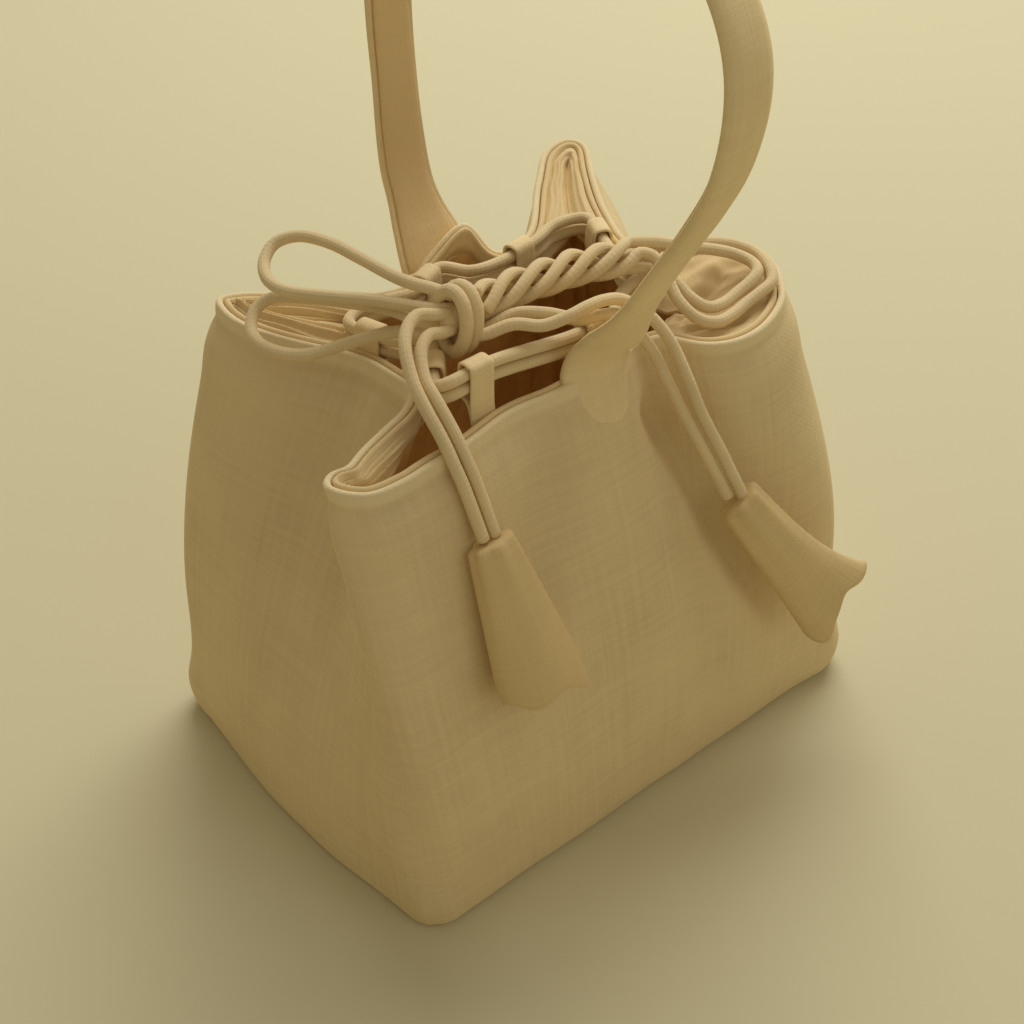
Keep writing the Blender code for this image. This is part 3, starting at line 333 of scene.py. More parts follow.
# The share of the length that the cords fill inside, and the inset there
TASSEL_FILLED, TASSEL_FILLED_INSET = 0.10, 0.003
TASSELS = {
    "left": {
        "top": (-44.0, -41.1, -19.4), "end": (-40.5, -57.2, -58.5), "hinge": (-0.045, -0.0295, 0.1294),
        "flare": 0.0052, "widest": 0.82, "tilt": 0.08, "seed": 3, "cloth_width": 0.050,
        "bumps": ((0.0, 0.9, -0.0002, 0.0030), (-2.0, 0.6, 0.0004, 0.0006)),
        "outer": (
            (-26.5, -7.8, 17.2), (-31.4, -7.0, 18.6), (-35.2, -5.6, 19.4), (-39.6, -7.4, 18.8),
            (-43.4, -11.4, 17.0), (-46.2, -17.4, 13.0), (-46.9, -22.4, 8.9), (-46.9, -28.4, 3.4),
            (-46.7, -33.0, -2.8), (-46.3, -35.6, -7.6), (-45.7, -40.8, -18.6),
        ),
        "inner": (
            (-26.5, -9.0, 14.4), (-31.6, -10.0, 15.4), (-35.4, -9.8, 16.2), (-39.8, -12.4, 15.2),
            (-42.9, -17.5, 12.0), (-43.5, -22.4, 8.9), (-43.5, -28.4, 3.4), (-43.3, -33.0, -2.8),
            (-42.9, -35.6, -7.8), (-42.3, -40.8, -19.0),
        ),
    },
    "right": {
        "top": (24.7, -53.6, -36.6), "end": (52.2, -67.2, -82.4), "hinge": (0.0174, -0.0351, 0.1299),
        "flare": 0.0034, "widest": 1.0, "tilt": 0.06, "seed": 8, "cloth_width": 0.046,
        "bumps": (
            (0.05, 0.66, 0.0070, -0.0016), (-0.95, 0.46, 0.0004, -0.0060), (0.90, 0.70, 0.0010, 0.0002),
            (-2.3, 0.45, 0.0010, 0.0030),
        ),
        "outer": (
            (-25.5, -8.6, 12.0), (-21.0, -11.2, 11.6), (-13.6, -13.8, 14.4), (-8.4, -19.4, 15.2),
            (-2.4, -23.9, 13.2), (4.0, -25.0, 12.2), (9.4, -25.8, 9.8), (13.8, -31.5, 1.7),
            (14.8, -36.4, -5.2), (16.6, -40.6, -13.0), (19.4, -46.2, -23.4), (22.6, -52.4, -35.6),
        ),
        "inner": (
            (-26.0, -9.6, 14.0), (-23.4, -13.8, 13.0), (-17.2, -17.6, 15.2), (-12.0, -22.0, 14.8),
            (-6.2, -24.6, 16.2), (-1.6, -25.1, 16.8), (4.0, -25.1, 16.3), (9.4, -25.7, 14.4),
            (14.0, -29.2, 10.6), (17.4, -34.0, 3.9), (18.6, -39.6, -4.8), (20.2, -43.4, -13.6),
            (22.9, -48.8, -24.0), (26.0, -54.2, -36.0),
        ),
    },
}
# A stretch at the rim, as offsets from a tail's hinge, handed with the tail's cords; it only leaves them off
# the bag's body
TAIL_BEND_BEFORE = (0.0, 0.0024, 0.0036)
TAIL_BEND_AFTER = (0.0, -0.0030, -0.0050)

# Finishes: real sizes in metres, and noise scales in cycles a metre
SLUB_LENGTHS = 45.0
PATCH_SCALE, CREASE_SCALE = 38.0, 120.0
CREASE_DEPTH, THREAD_DEPTH, WEAVE_DEPTH = 0.0008, 0.0003, 0.00012
CORD_PATCH_SCALE, FUZZ_SCALE = 90.0, 900.0
STITCHES_ROUND, STITCH_SPACING = 6, 0.0026
FUZZ_DEPTH, STITCH_DEPTH = 0.0002, 0.00015
WADDING_GRAIN, BOARD_GRAIN = 0.0008, 0.0005
# How much paler the outer cloth is in red, green and blue where it is rubbed
RUBBED = (1.2, 1.28, 1.45)

# Stage: each lamp's place, aim, size and share of the key lamp's power
FLOOR_SIZE = 6.0
LAMPS = {
    "key_lamp": ((0.60, 0.46, 1.0), (0.0, 0.0, 0.05), 0.9, 1.0),
    "fill_lamp": ((0.1, -1.5, 1.1), (0.0, 0.0, 0.08), 1.4, 0.24),
}
ROOM_LIGHT = 0.33
CAMERA_PLACE = (-0.2382, -0.2758, 0.3736)
CAMERA_TARGET = (0.04667, 0.05746, 0.0)
CAMERA_LENS = 63.28
CAMERA_SENSOR = 36.0
CAMERA_NEAR = 0.01


def linear(hex_colour):
    """A hex sRGB colour as linear red, green, blue and alpha."""
    values = [int(hex_colour[place:place + 2], 16) / 255 for place in (1, 3, 5)]
    return (*(v / 12.92 if v <= 0.04045 else ((v + 0.055) / 1.055) ** 2.4 for v in values), 1.0)


def length_setting(name, description, default, low, high):
    return bpy.props.FloatProperty(
        name=name, description=description, default=default, min=low, max=high, unit="LENGTH",
    )


def colour_setting(name, description, default):
    return bpy.props.FloatVectorProperty(
        name=name, description=description, default=linear(default), size=4, min=0.0, max=1.0,
        subtype="COLOR",
    )


class TeaBagSettings(bpy.types.PropertyGroup):
    """Sizes and colours of the bag"""

    base_width: length_setting("Base width", "Width of the bag where it stands", 0.150, 0.12, 0.18)
    base_depth: length_setting("Base depth", "Depth of the bag where it stands", 0.110, 0.088, 0.132)
    cord_diameter: length_setting("Cord diameter", "Thickness of the round cotton cord", 0.0030, 0.002, 0.004)
    strap_width: length_setting("Strap width", "Width of the handle's strap", 0.0145, 0.01, 0.02)
    thread_spacing: length_setting(
        "Thread spacing", "Distance between two threads of the cloth's weave", 0.0008, 0.0003, 0.002,
    )
    cloth_colour: colour_setting("Cloth", "Colour of the undyed outer cloth", "#DCC798")
    # The lining's colour is set lighter and more orange than the outer cloth's: painted glow for light that
    # shines through the thin cloth and bounces inside the bag.
    lining_colour: colour_setting("Lining", "Colour of the lining cloth", "#F6CF8F")
    cord_colour: colour_setting("Cord", "Colour of the cotton cord", "#E0CA9C")
    floor_colour: colour_setting("Floor", "Colour of the pale floor", "#D1C9A5")
    key_power: bpy.props.FloatProperty(
        name="Key lamp", description="Power of the large soft lamp above the right shoulder",
        default=11.2, min=0.0, unit="POWER",
    )


def settings():
    return bpy.context.scene.tea_bag


# Materials


def add_node(tree, kind, inputs=None, out=0, **attributes):
    """Add a shader node with its attributes, and give each named input a value or a link.

    It gives back the output that out names, or all outputs if that is None.
    """
    node = tree.nodes.new(f"ShaderNode{kind}")
    for key, value in attributes.items():
        setattr(node, key, value)
    for key, value in (inputs or {}).items():
        if isinstance(value, bpy.types.NodeSocket):
            tree.links.new(value, node.inputs[key])
        else:
            node.inputs[key].default_value = value
    return node.outputs if out is None else node.outputs[out]


def new_material(name):
    """An empty node material and its tree."""
    material = bpy.data.materials.new(name)
    material.use_nodes = True
    material.node_tree.nodes.clear()
    return material, material.node_tree


def close_material(tree, colour, shown, tones, heights, roughness, sheen, sheen_tone, wear_and_painted_light_colour=None):
    """A soft matt shader: tones laid over the colour shown, and heights as bumps over each other.

    Each tone is a value, its range, how strongly the tone shows at both ends, and its factor on
    the colour. Each height is a value, the bump's strength and its depth in metres. The colour
    for wear and painted light shows where its mask is set: real rubbing on the outer cloth,
    painted glow inside the tassels and plain cloth in painted shade on the lining.
    """
    for value, low, high, least, most, factor in tones:
        share = add_node(tree, "MapRange", {
            "Value": value, "From Min": low, "From Max": high, "To Min": least, "To Max": most,
        })
        shown = add_node(tree, "Mix", {0: share, 6: shown, 7: tone(colour, factor)}, out=2, data_type="RGBA")
    if wear_and_painted_light_colour is not None:
        wear_and_painted_light = add_node(tree, "Attribute", out="Fac", attribute_name="wear_and_painted_light")
        shown = add_node(tree, "Mix", {0: wear_and_painted_light, 6: shown, 7: tone(wear_and_painted_light_colour, 1.0)}, out=2, data_type="RGBA")
    under = {}
    for height, strength, depth in heights:
        bump = {"Height": height, "Strength": strength, "Distance": depth}
        under = {"Normal": add_node(tree, "Bump", {**bump, **under})}
    shader = add_node(tree, "BsdfPrincipled", {
        "Base Color": shown, "Roughness": roughness, "Sheen Weight": sheen, "Sheen Roughness": 0.45,
        "Sheen Tint": tone(colour, sheen_tone), "Specular IOR Level": 0.2, "IOR": 1.45, **under,
    })
    add_node(tree, "OutputMaterial", {"Surface": shader}, out=None)


def tone(colour, factor):
    return (*(min(1.0, value * factor) for value in colour[:3]), 1.0)


def tinted(colour, factors):
    return tuple(value * factor for value, factor in zip(colour, factors))


def woven_material(name, colour, spacing, wear_and_painted_light_colour, relief=1.0):
    """Plain woven undyed cotton: matt, with a soft nap, uneven threads and faint handling marks.

    The real threads lie about 0.45 mm apart. They are drawn at the spacing that is given, a
    little coarser, so that they show at the size that the bag has in a picture.
    """
    material, tree = new_material(name)
    surface = add_node(tree, "UVMap")
    place = add_node(tree, "TexCoord", out="Object")
    turns = (math.tau / spacing / 2,) * 3
    turned = add_node(tree, "VectorMath", {0: surface, 1: turns}, operation="MULTIPLY")
    parts = add_node(tree, "SeparateXYZ", {0: turned}, out=None)
    waves = [add_node(tree, "Math", {0: parts[axis]}, operation="SINE") for axis in (0, 1)]
    weave = add_node(tree, "Math", {0: waves[0], 1: waves[1]}, operation="MULTIPLY")
    slubs = []
    for stretch in ((1 / spacing, SLUB_LENGTHS, 1.0), (SLUB_LENGTHS, 1 / spacing, 1.0)):
        stretched = add_node(tree, "VectorMath", {0: surface, 1: stretch}, operation="MULTIPLY")
        slubs.append(add_node(tree, "TexNoise", {"Vector": stretched, "Scale": 0.5, "Detail": 2.0}))
    threads = add_node(tree, "Math", {0: slubs[0], 1: slubs[1]}, operation="ADD")
    patches = add_node(tree, "TexNoise", {
        "Vector": place, "Scale": PATCH_SCALE, "Detail": 4.0, "Roughness": 0.55,
    })
    creases = add_node(tree, "TexNoise", {
        "Vector": place, "Scale": CREASE_SCALE, "Detail": 5.0, "Distortion": 0.6,
    })
    # Where the weave dips between its threads it is drawn a little darker: painted shade.
    close_material(
        tree, colour, tone(colour, 0.93),
        (
            (patches, 0.3, 0.7, 0.0, 1.0, 1.05), (threads, 0.75, 1.25, 0.0, 0.5, 1.12),
            (weave, -1.0, 0.2, 0.07, 0.0, 0.72),
        ),
        (
            (creases, 0.25 * relief, CREASE_DEPTH), (threads, 0.35 * relief, THREAD_DEPTH),
            (weave, 0.16 * relief, WEAVE_DEPTH),
        ),
        roughness=0.92, sheen=0.22, sheen_tone=1.25, wear_and_painted_light_colour=wear_and_painted_light_colour,
    )
    return material


def cord_material(name, colour):
    """Round knitted cotton cord: soft stitches in two crossing spirals, about 0.9 mm long."""
    material, tree = new_material(name)
    place = add_node(tree, "TexCoord", out="Object")
    parts = add_node(tree, "SeparateXYZ", {0: add_node(tree, "UVMap")}, out=None)
    around, along = (
        add_node(tree, "Math", {0: part, 1: math.tau * stitches}, operation="MULTIPLY")
        for part, stitches in ((parts[0], STITCHES_ROUND), (parts[1], 1 / STITCH_SPACING))
    )
    waves = []
    for operation in ("ADD", "SUBTRACT"):
        spiral = add_node(tree, "Math", {0: along, 1: around}, operation=operation)
        waves.append(add_node(tree, "Math", {0: spiral}, operation="SINE"))
    stitch = add_node(tree, "Math", {0: waves[0], 1: waves[1]}, operation="MULTIPLY")
    patches = add_node(tree, "TexNoise", {"Vector": place, "Scale": CORD_PATCH_SCALE, "Detail": 3.0})
    fuzz = add_node(tree, "TexNoise", {"Vector": place, "Scale": FUZZ_SCALE, "Detail": 2.0})
    # Where the stitches dip the cord is drawn a little darker: painted shade.
    close_material(
        tree, colour, tone(colour, 0.93),
        ((patches, 0.3, 0.7, 0.0, 1.0, 1.06), (stitch, -1.0, 0.3, 0.12, 0.0, 0.7)),
        ((fuzz, 0.25, FUZZ_DEPTH), (stitch, 0.25, STITCH_DEPTH)),
        roughness=0.85, sheen=0.3, sheen_tone=1.2,
    )
    return material


def fibre_material(name, colour, grain, roughness):
    """Wadding or pressed board: short tangled fibres, matt and slightly uneven in colour."""
    material, tree = new_material(name)
    place = add_node(tree, "TexCoord", out="Object")
    fibres = add_node(tree, "TexNoise", {
        "Vector": place, "Scale": 1 / grain, "Detail": 6.0, "Distortion": 1.5,
    })
    tones = {0: fibres, 6: tone(colour, 0.85), 7: tone(colour, 1.1)}
    uneven = add_node(tree, "Mix", tones, out=2, data_type="RGBA")
    heights = ((fibres, 0.5, grain / 4),)
    close_material(tree, colour, uneven, (), heights, roughness, sheen=0.1, sheen_tone=1.1)
    return material


def floor_material(name, colour):
    """Matt painted board: plain and pale, with only a breath of unevenness."""
    material, tree = new_material(name)
    place = add_node(tree, "TexCoord", out="Object")
    clouds = add_node(tree, "TexNoise", {"Vector": place, "Scale": 3.0, "Detail": 2.0})
    tones = {0: clouds, 6: tone(colour, 0.98), 7: tone(colour, 1.02)}
    uneven = add_node(tree, "Mix", tones, out=2, data_type="RGBA")
    shader = add_node(tree, "BsdfPrincipled", {
        "Base Color": uneven, "Roughness": 0.95, "Specular IOR Level": 0.1,
    })
    add_node(tree, "OutputMaterial", {"Surface": shader}, out=None)
    return material


def bag_material(kind):
    """The bag's finish of that kind, made once."""
    made = bpy.data.materials.get(kind)
    if made:
        return made
    look = settings()
    cloth, lining, spacing = look.cloth_colour, look.lining_colour, look.thread_spacing
    if kind == "knitted_cotton_cord":
        return cord_material(kind, look.cord_colour)
    if kind == "cotton_wadding":
        return fibre_material(kind, linear("#E4E0D6"), WADDING_GRAIN, 0.97)
    if kind == "pressed_fibre_board":
        return fibre_material(kind, linear("#8C7A63"), BOARD_GRAIN, 0.8)
    if kind == "matt_painted_floor":
        return floor_material(kind, look.floor_colour)
    # The lining's colour carries painted glow; where the mask is set it turns to the outer cloth's colour a
    # little darker: painted shade.
    if kind == "cotton_lining_cloth":
        return woven_material(kind, lining, spacing * 0.8, tone(cloth, 0.94), relief=0.8)
    # The tassels are drawn in the bag's own cloth made darker and warmer: painted shade, with warm light
    # bounced from the wall beside them. Their inside takes the lining's colour, with its painted glow.
    if kind == "tassel_cotton_painted_shade_and_glow":
        return woven_material(kind, tinted(cloth, (0.92, 0.87, 0.76)), spacing * 0.9, lining)
    # The strap and the tabs are drawn in the bag's own cloth made a little lighter: painted glow for light
    # that shines through the thin cloth. Their rubbed colour is real wear.
    if kind == "tape_cotton_painted_glow":
        pale = tone(cloth, 1.12)
        return woven_material(kind, pale, spacing * 0.9, tinted(pale, RUBBED))
    return woven_material(kind, cloth, spacing, tinted(cloth, RUBBED))


# Shapes


def clear_selection():
    for item in bpy.context.selected_objects:
        item.select_set(False)


def unit(vectors):
    return vectors / np.maximum(np.linalg.norm(vectors, axis=-1, keepdims=True), 1e-12)


def step(low, high, value):
    """A smooth rise from 0 to 1 between two values."""
    share = np.clip((value - low) / (high - low), 0.0, 1.0)
    return share * share * (3.0 - 2.0 * share)


def from_rim(points):
    """Points in metres, from millimetres whose heights are taken from the rim."""
    return np.array(points, dtype=float) * MM + (0.0, 0.0, RIM_HEIGHT)


def curve(before, first, second, after, t):
    """Points on a smooth curve between the middle two of four points."""
    return 0.5 * (
        2 * first + (second - before) * t
        + (2 * before - 5 * first + 4 * second - after) * t ** 2
        + (3 * first - before - 3 * second + after) * t ** 3
    )


def run_lengths(points):
    """Distance along a path to each of its points."""
    return np.concatenate([[0.0], np.cumsum(np.linalg.norm(np.diff(points, axis=0), axis=1))])


def spline_points(route, spacing):
    """Evenly spaced points on a smooth curve through the route's own points."""
    route = np.array(route, dtype=float)
    padded = np.vstack([2 * route[0] - route[1], route, 2 * route[-1] - route[-2]])
    t = (np.arange(CURVE_STEPS) / CURVE_STEPS)[:, None]
    fine = np.vstack([curve(*padded[start:start + 4], t) for start in range(len(route) - 1)] + [route[-1:]])
    lengths = run_lengths(fine)
    marks = np.linspace(0.0, lengths[-1], max(2, round(lengths[-1] / spacing)) + 1)
    return np.stack([np.interp(marks, lengths, fine[:, axis]) for axis in range(fine.shape[1])], axis=1)


def closed_spline(values, steps):
    """A closed smooth curve through rows of values, with a number of steps for each row."""
    t = (np.arange(steps) / steps)[None, :, None]
    corners = (np.roll(values, shift, axis=0)[:, None, :] for shift in (1, 0, -1, -2))
    return curve(*corners, t).reshape(-1, values.shape[1])


def smoothed(values, rounds):
    """Values round a closed outline, each drawn towards its neighbours a number of times."""
    for _ in range(rounds):
        values = (np.roll(values, 1, axis=0) + 2 * values + np.roll(values, -1, axis=0)) / 4
    return values


def hill(gap, width):
    """A smooth hump: 1 in its middle, and almost gone at twice its half width."""
    return np.exp(-(gap / width) ** 2)


def cloth_grid(name, table, wear_and_painted_light=None, u_length=None):
    """A grid primitive moved onto a table of points, rows by columns, with its map in metres.

    Columns that meet and rows that shrink to a point are merged, and the faces are turned out.
    """
    rows, columns = table.shape[:2]
    clear_selection()
    bpy.ops.mesh.primitive_grid_add(x_subdivisions=columns - 1, y_subdivisions=rows - 1, size=1.0)
    piece = bpy.context.object
    piece.name = name
    piece.data.name = name
    mesh = piece.data
    mesh.vertices.foreach_set("co", table.reshape(-1))
    across = np.linalg.norm(np.diff(table, axis=1), axis=2)
    down = np.linalg.norm(np.diff(table, axis=0), axis=2)
    u_marks = np.concatenate([[0.0], np.cumsum(across.max(axis=0))])
    if u_length is not None:
        u_marks = np.linspace(0.0, u_length, columns)
    v_marks = np.concatenate([[0.0], np.cumsum(down.mean(axis=1))])
    loops = mesh.uv_layers.active.data
    flat = np.empty(len(loops) * 2, dtype=np.float32)
    loops.foreach_get("uv", flat)
    flat = flat.reshape(-1, 2)
    flat[:, 0] = np.interp(flat[:, 0], np.linspace(0.0, 1.0, columns), u_marks)
    flat[:, 1] = np.interp(flat[:, 1], np.linspace(0.0, 1.0, rows), v_marks)
    loops.foreach_set("uv", flat.reshape(-1))
    if wear_and_painted_light is not None:
        layer = mesh.attributes.new("wear_and_painted_light", "FLOAT", "POINT")
        layer.data.foreach_set("value", np.ascontiguousarray(wear_and_painted_light, dtype=np.float32).reshape(-1))
    mesh.update()
    bpy.ops.object.mode_set(mode="EDIT")
    bpy.ops.mesh.select_all(action="SELECT")
    bpy.ops.mesh.remove_doubles(threshold=MERGE_DISTANCE)
    bpy.ops.mesh.normals_make_consistent(inside=False)
    bpy.ops.object.mode_set(mode="OBJECT")
    bpy.ops.object.shade_smooth()
    return piece


def finish_piece(piece, body, slot, material, *nodes):
    """Give a piece its finish, put it on its body and let it stand for its nodes."""
    piece.data.materials.clear()
    piece.data.materials.append(bag_material(material))
    if body:
        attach(piece, body)
    if nodes:
        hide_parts(*nodes)


def sweep_table(middles, sides, normals, sections):
    """A closed tube of points: each section is a loop of (side, normal) offsets at its middle."""
    rows = []
    for middle, side, normal, section in zip(middles, sides, normals, sections):
        loop = np.vstack([section, section[:1]])
        rows.append(middle + loop[:, :1] * side + loop[:, 1:] * normal)
    ends = []
    for row, middle, inner in ((rows[0], middles[0], middles[1]), (rows[-1], middles[-1], middles[-2])):
        out = unit(middle - inner) * END_BULGE
        ends.append([middle + (row - middle) * share + out * bulge for share, bulge in END_RINGS])
    return np.array([*ends[0], *rows, *ends[1][::-1]])


def path_frames(points):
    """Two directions square to a path, which turn as little as they can along it."""
    ahead = unit(np.gradient(points, axis=0))
    start = np.array((0.0, 0.0, 1.0)) if abs(ahead[0][2]) < 0.9 else np.array((1.0, 0.0, 0.0))
    sides = [unit(np.cross(start, ahead[0]))]
    for direction in ahead[1:]:
        sides.append(unit(sides[-1] - direction * np.dot(sides[-1], direction)))
    return np.array(sides), np.cross(ahead, sides)


def cord_mesh(name, points, diameter):
    """A round cord along a route, its stitches mapped round and along it."""
    path = spline_points(points, CORD_STEP)
    angles = np.arange(CORD_SIDES) * math.tau / CORD_SIDES
    circle = np.column_stack([np.cos(angles), np.sin(angles)]) * diameter / 2
    piece = cloth_grid(name, sweep_table(path, *path_frames(path), [circle] * len(path)), u_length=1.0)
    return piece, path


# The wall's surface


def base_point(wall, share):
    """Point on the base's outline, at a share of the way along one side."""
    half = np.array((settings().base_width, settings().base_depth)) / 2
    first = WALLS.index(wall)
    start, end = (BASE_CORNERS[corner % len(WALLS)] * half for corner in (first, first + 1))
    length = np.linalg.norm(end - start)
    along = (end - start) / length
    inward = np.array((-along[1], along[0]))
    quarter = BASE_CORNER_RADIUS * math.pi / 4
    total = length - 2 * BASE_CORNER_RADIUS + 2 * quarter
    travelled = share * total
    run = BASE_CORNER_RADIUS + travelled - quarter
    rise = 0.0
    if travelled < quarter or travelled > total - quarter:
        angle = math.pi / 4 - min(travelled, total - travelled) / BASE_CORNER_RADIUS
        run = BASE_CORNER_RADIUS * (1 - math.sin(angle))
        rise = BASE_CORNER_RADIUS * (1 - math.cos(angle))
        if travelled > total - quarter:
            run = length - run
    bulge = SIDE_BULGE * math.sin(math.pi * run / length) if wall in ("left", "right") else 0.0
    return start + along * run + inward * (rise - bulge)


def rim_and_base(steps):
    """The rim's outline and the base's, matched point for point, with a number of steps a point."""
    size = (settings().base_width / 2, settings().base_depth / 2, LOBE_LIFT)
    table = np.array([row for wall in WALLS for row in RIM_SHARES[wall]]) * size
    rim = closed_spline(table, steps) if steps > 1 else table
    base = []
    for wall in WALLS:
        first = WALL_START[wall] * steps
        count = len(RIM_SHARES[wall]) * steps
        run = rim[np.arange(first, first + count + 1) % len(rim)][:, :2]
        lengths = run_lengths(run)
        base += [base_point(wall, length / lengths[-1]) for length in lengths[:-1]]
    return rim, np.array(base)


def outline_at(rim, base, share):
    """Closed outline of the outer face at a share of the wall's height."""
    plan = base + (rim[:, :2] - base) * share ** WALL_CURVE_EXPONENT
    plan = plan + unit(base) * WALL_BULGE * math.sin(math.pi * share)
    height = WALL_FOOT + (RIM_HEIGHT - WALL_FOOT + rim[:, 2]) * share
    return np.column_stack([plan, height])


def mitres(outline):
    """For each point of a closed outline, the plan step that moves both its sides in by one."""
    ahead = unit(np.roll(outline[:, :2], -1, axis=0) - outline[:, :2])
    behind = np.roll(ahead, 1, axis=0)
    ahead = np.column_stack([-ahead[:, 1], ahead[:, 0]])
    behind = np.column_stack([-behind[:, 1], behind[:, 0]])
    return (ahead + behind) / (1 + np.sum(ahead * behind, axis=1))[:, None]


def inward_steps(outline):
    """Plan directions into the wall, smoothed a little along the outline so that bends stay round."""
    return unit(smoothed(mitres(outline), INWARD_ROUNDS))


def column_gap(column, middle):
    """Signed distance round the rim from a place to each column, in rim points."""
    return (column - middle + COLUMN_COUNT / 2) % COLUMN_COUNT - COLUMN_COUNT / 2


def fold_field(column, share):
    """How far the cloth stands out of its mean surface at one height, in metres.

    column counts the rim's points from the front wall's left corner, and share is the height.
    """
    generator = np.random.default_rng(RIPPLE_SEED)
    turn = column / COLUMN_COUNT * math.tau
    total = np.zeros(len(column))
    for _ in range(RIPPLE_COUNT):
        around, rise = generator.integers(*RIPPLE_TURNS), generator.uniform(*RIPPLE_RISE)
        total += np.sin(turn * around + share * rise + generator.uniform(0, math.tau))
    size = RIPPLE_HEIGHT / RIPPLE_COUNT ** 0.5
    total *= size * math.sin(math.pi * min(max(share, 0.02), 1.0) ** 0.8) ** 0.7
    for marks, left, right, low, depth in FOLDS:
        middle = np.interp(share, FOLD_SHARES, marks)
        gap = column_gap(column, middle)
        width = np.where(gap < 0.0, left, right)
        total += depth * hill(gap, width) * step(low, low + 0.5, share)
    below = (1.0 - share) * RIM_HEIGHT
    for middle, width, depth in RIM_PROFILE:
        total += depth * hill(below - middle, width)
    for middle, width, depth in CORNER_PUFFS:
        near = sum(size * hill(share - height, reach) for size, height, reach in PUFF_PROFILE)
        total += depth * near * hill(column_gap(column, middle), width)
    under_strap = np.exp(-(column_gap(column, STRAP_COLUMN) / SMOOTH_WIDTH) ** 4)
    return total * (1.0 - SMOOTHNESS * under_strap * step(*SMOOTH_FROM, share))


def shell_table(rows):
    """Points for rows of (height share, depth, base inset) round the whole bag.

    A row may also have a lift, in metres, as its last value.
    """
    rim, base = rim_and_base(COLUMNS_PER_POINT)
    column = np.arange(len(rim)) / COLUMNS_PER_POINT
    table = []
    for share, depth, inset, *lift in rows:
        outline = outline_at(rim, base, share)
        inward = inward_steps(outline)
        stand = fold_field(column, share)
        for middle, width, lean in RIM_LEANS:
            stand -= lean * hill(column_gap(column, middle), width) * step(LEAN_FROM, 1.0, share)
        for middle, width, rise in RIM_TENTS:
            outline[:, 2] += rise * hill(column_gap(column, middle), width) * step(TENT_FROM, 1.0, share)
        outline[:, :2] += inward * (depth + inset - stand)[:, None]
        outline[:, 2] += sum(lift)
        table.append(np.vstack([outline, outline[:1]]))
    return table


def flat_rows(outline, height, shares):
    """Rows that shrink an outline towards its middle at one height."""
    rows = []
    for share in shares:
        row = outline * (share, share, 0.0)
        row[:, 2] = height
        rows.append(row)
    return rows


def shell_rows(outer_depth, inner_depth, rows):
    """Rows up the outer face, over the rolled rim and down the inner face."""
    radius = (inner_depth - outer_depth) / 2
    high = 1.0 - radius / RIM_HEIGHT
    low = BASE_EDGE_RADIUS / RIM_HEIGHT
    out = [(share, outer_depth, 0.0) for share in np.linspace(low, high, rows)]
    for angle in np.linspace(0.0, math.pi, RIM_EDGE_STEPS + 2)[1:-1]:
        out.append((high, outer_depth + radius * (1 - math.cos(angle)), 0.0, radius * math.sin(angle)))
    back = [(share, inner_depth, 0.0) for share in np.linspace(high, low, rows // 2)]
    return out, back


def add_outer_shell():
    """The outer cloth: walls, rolled rim and base in one skin, as the bag shows no side seams."""
    out, back = shell_rows(0.0, OUTER_EDGE, OUTER_ROWS)
    angles = np.linspace(math.pi / 2, 0.0, FOOT_EDGE_STEPS + 1)[:-1]
    under = [(0.0, 0.0, BASE_EDGE_RADIUS * (1 - math.cos(angle))) for angle in angles]
    table = shell_table(under + out + back)
    for row, angle in zip(table, angles):
        row[:, 2] = BASE_EDGE_RADIUS * (1 - math.sin(angle))
    bottom = flat_rows(table[0], 0.0, BOTTOM_SHARES)
    floor = flat_rows(table[-1], BASE_CLOTH, FLOOR_SHARES)
    whole = np.array(bottom + table + floor)
    wear_and_painted_light = np.zeros(whole.shape[:2])
    edge = len(bottom) + len(under) + len(out)
    wear_and_painted_light[edge - RIM_EDGE_STEPS - 2:edge] = RIM_WEAR
    wear_and_painted_light[len(bottom):len(bottom) + len(under)] = FOOT_WEAR
    piece = cloth_grid("outer_cloth_shell", whole, wear_and_painted_light=wear_and_painted_light)
    nodes = [f"{wall}_panel" for wall in WALLS]
    finish_piece(piece, "bag", "outer_cloth", "undyed_cotton_canvas", *nodes, "base_panel")


def add_wadding():
    """The wadding between the outer cloth and the lining, hidden all round."""
    runs = zip(WADDING_DEPTHS, (WADDING_SHARES, WADDING_SHARES[::-1]))
    table = shell_table([(share, depth, 0.0) for depth, run in runs for share in run])
    piece = cloth_grid("wall_wadding", np.array(table + table[:1]))
    finish_piece(piece, "bag", "wadding", "cotton_wadding", *(f"{wall}_padding" for wall in WALLS))


def room_across(outline, inward):
    """Distance from each point of a closed outline, straight inward, to the side opposite."""
    start = outline[:, :2]
    edge = np.roll(start, -1, axis=0) - start
    room = np.full(len(outline), 1.0)
    for index, (point, ray) in enumerate(zip(start, inward)):
        turn = ray[0] * edge[:, 1] - ray[1] * edge[:, 0]
        turn = np.where(np.abs(turn) < 1e-9, 1e-9, turn)
        gap = start - point
        far = (gap[:, 0] * edge[:, 1] - gap[:, 1] * edge[:, 0]) / turn
        share = (gap[:, 0] * ray[1] - gap[:, 1] * ray[0]) / turn
        hits = far[(far > 0.001) & (share >= 0.0) & (share <= 1.0)]
        if len(hits):
            room[index] = hits.min()
    return room


def lobe_sizes(column):
    """Round the rim: the share of being in a lobe, and its fill's drop, swell, ripple and reach."""
    sizes = np.zeros((5, len(column)))
    for middle, half, *own in LOBE_FILLS:
        fade = (half - LOBE_FADE[0], half + LOBE_FADE[1])
        share = 1.0 - step(*fade, np.abs(column_gap(column, middle)))
        sizes += share * np.array([1.0, *own])[:, None]
    return sizes


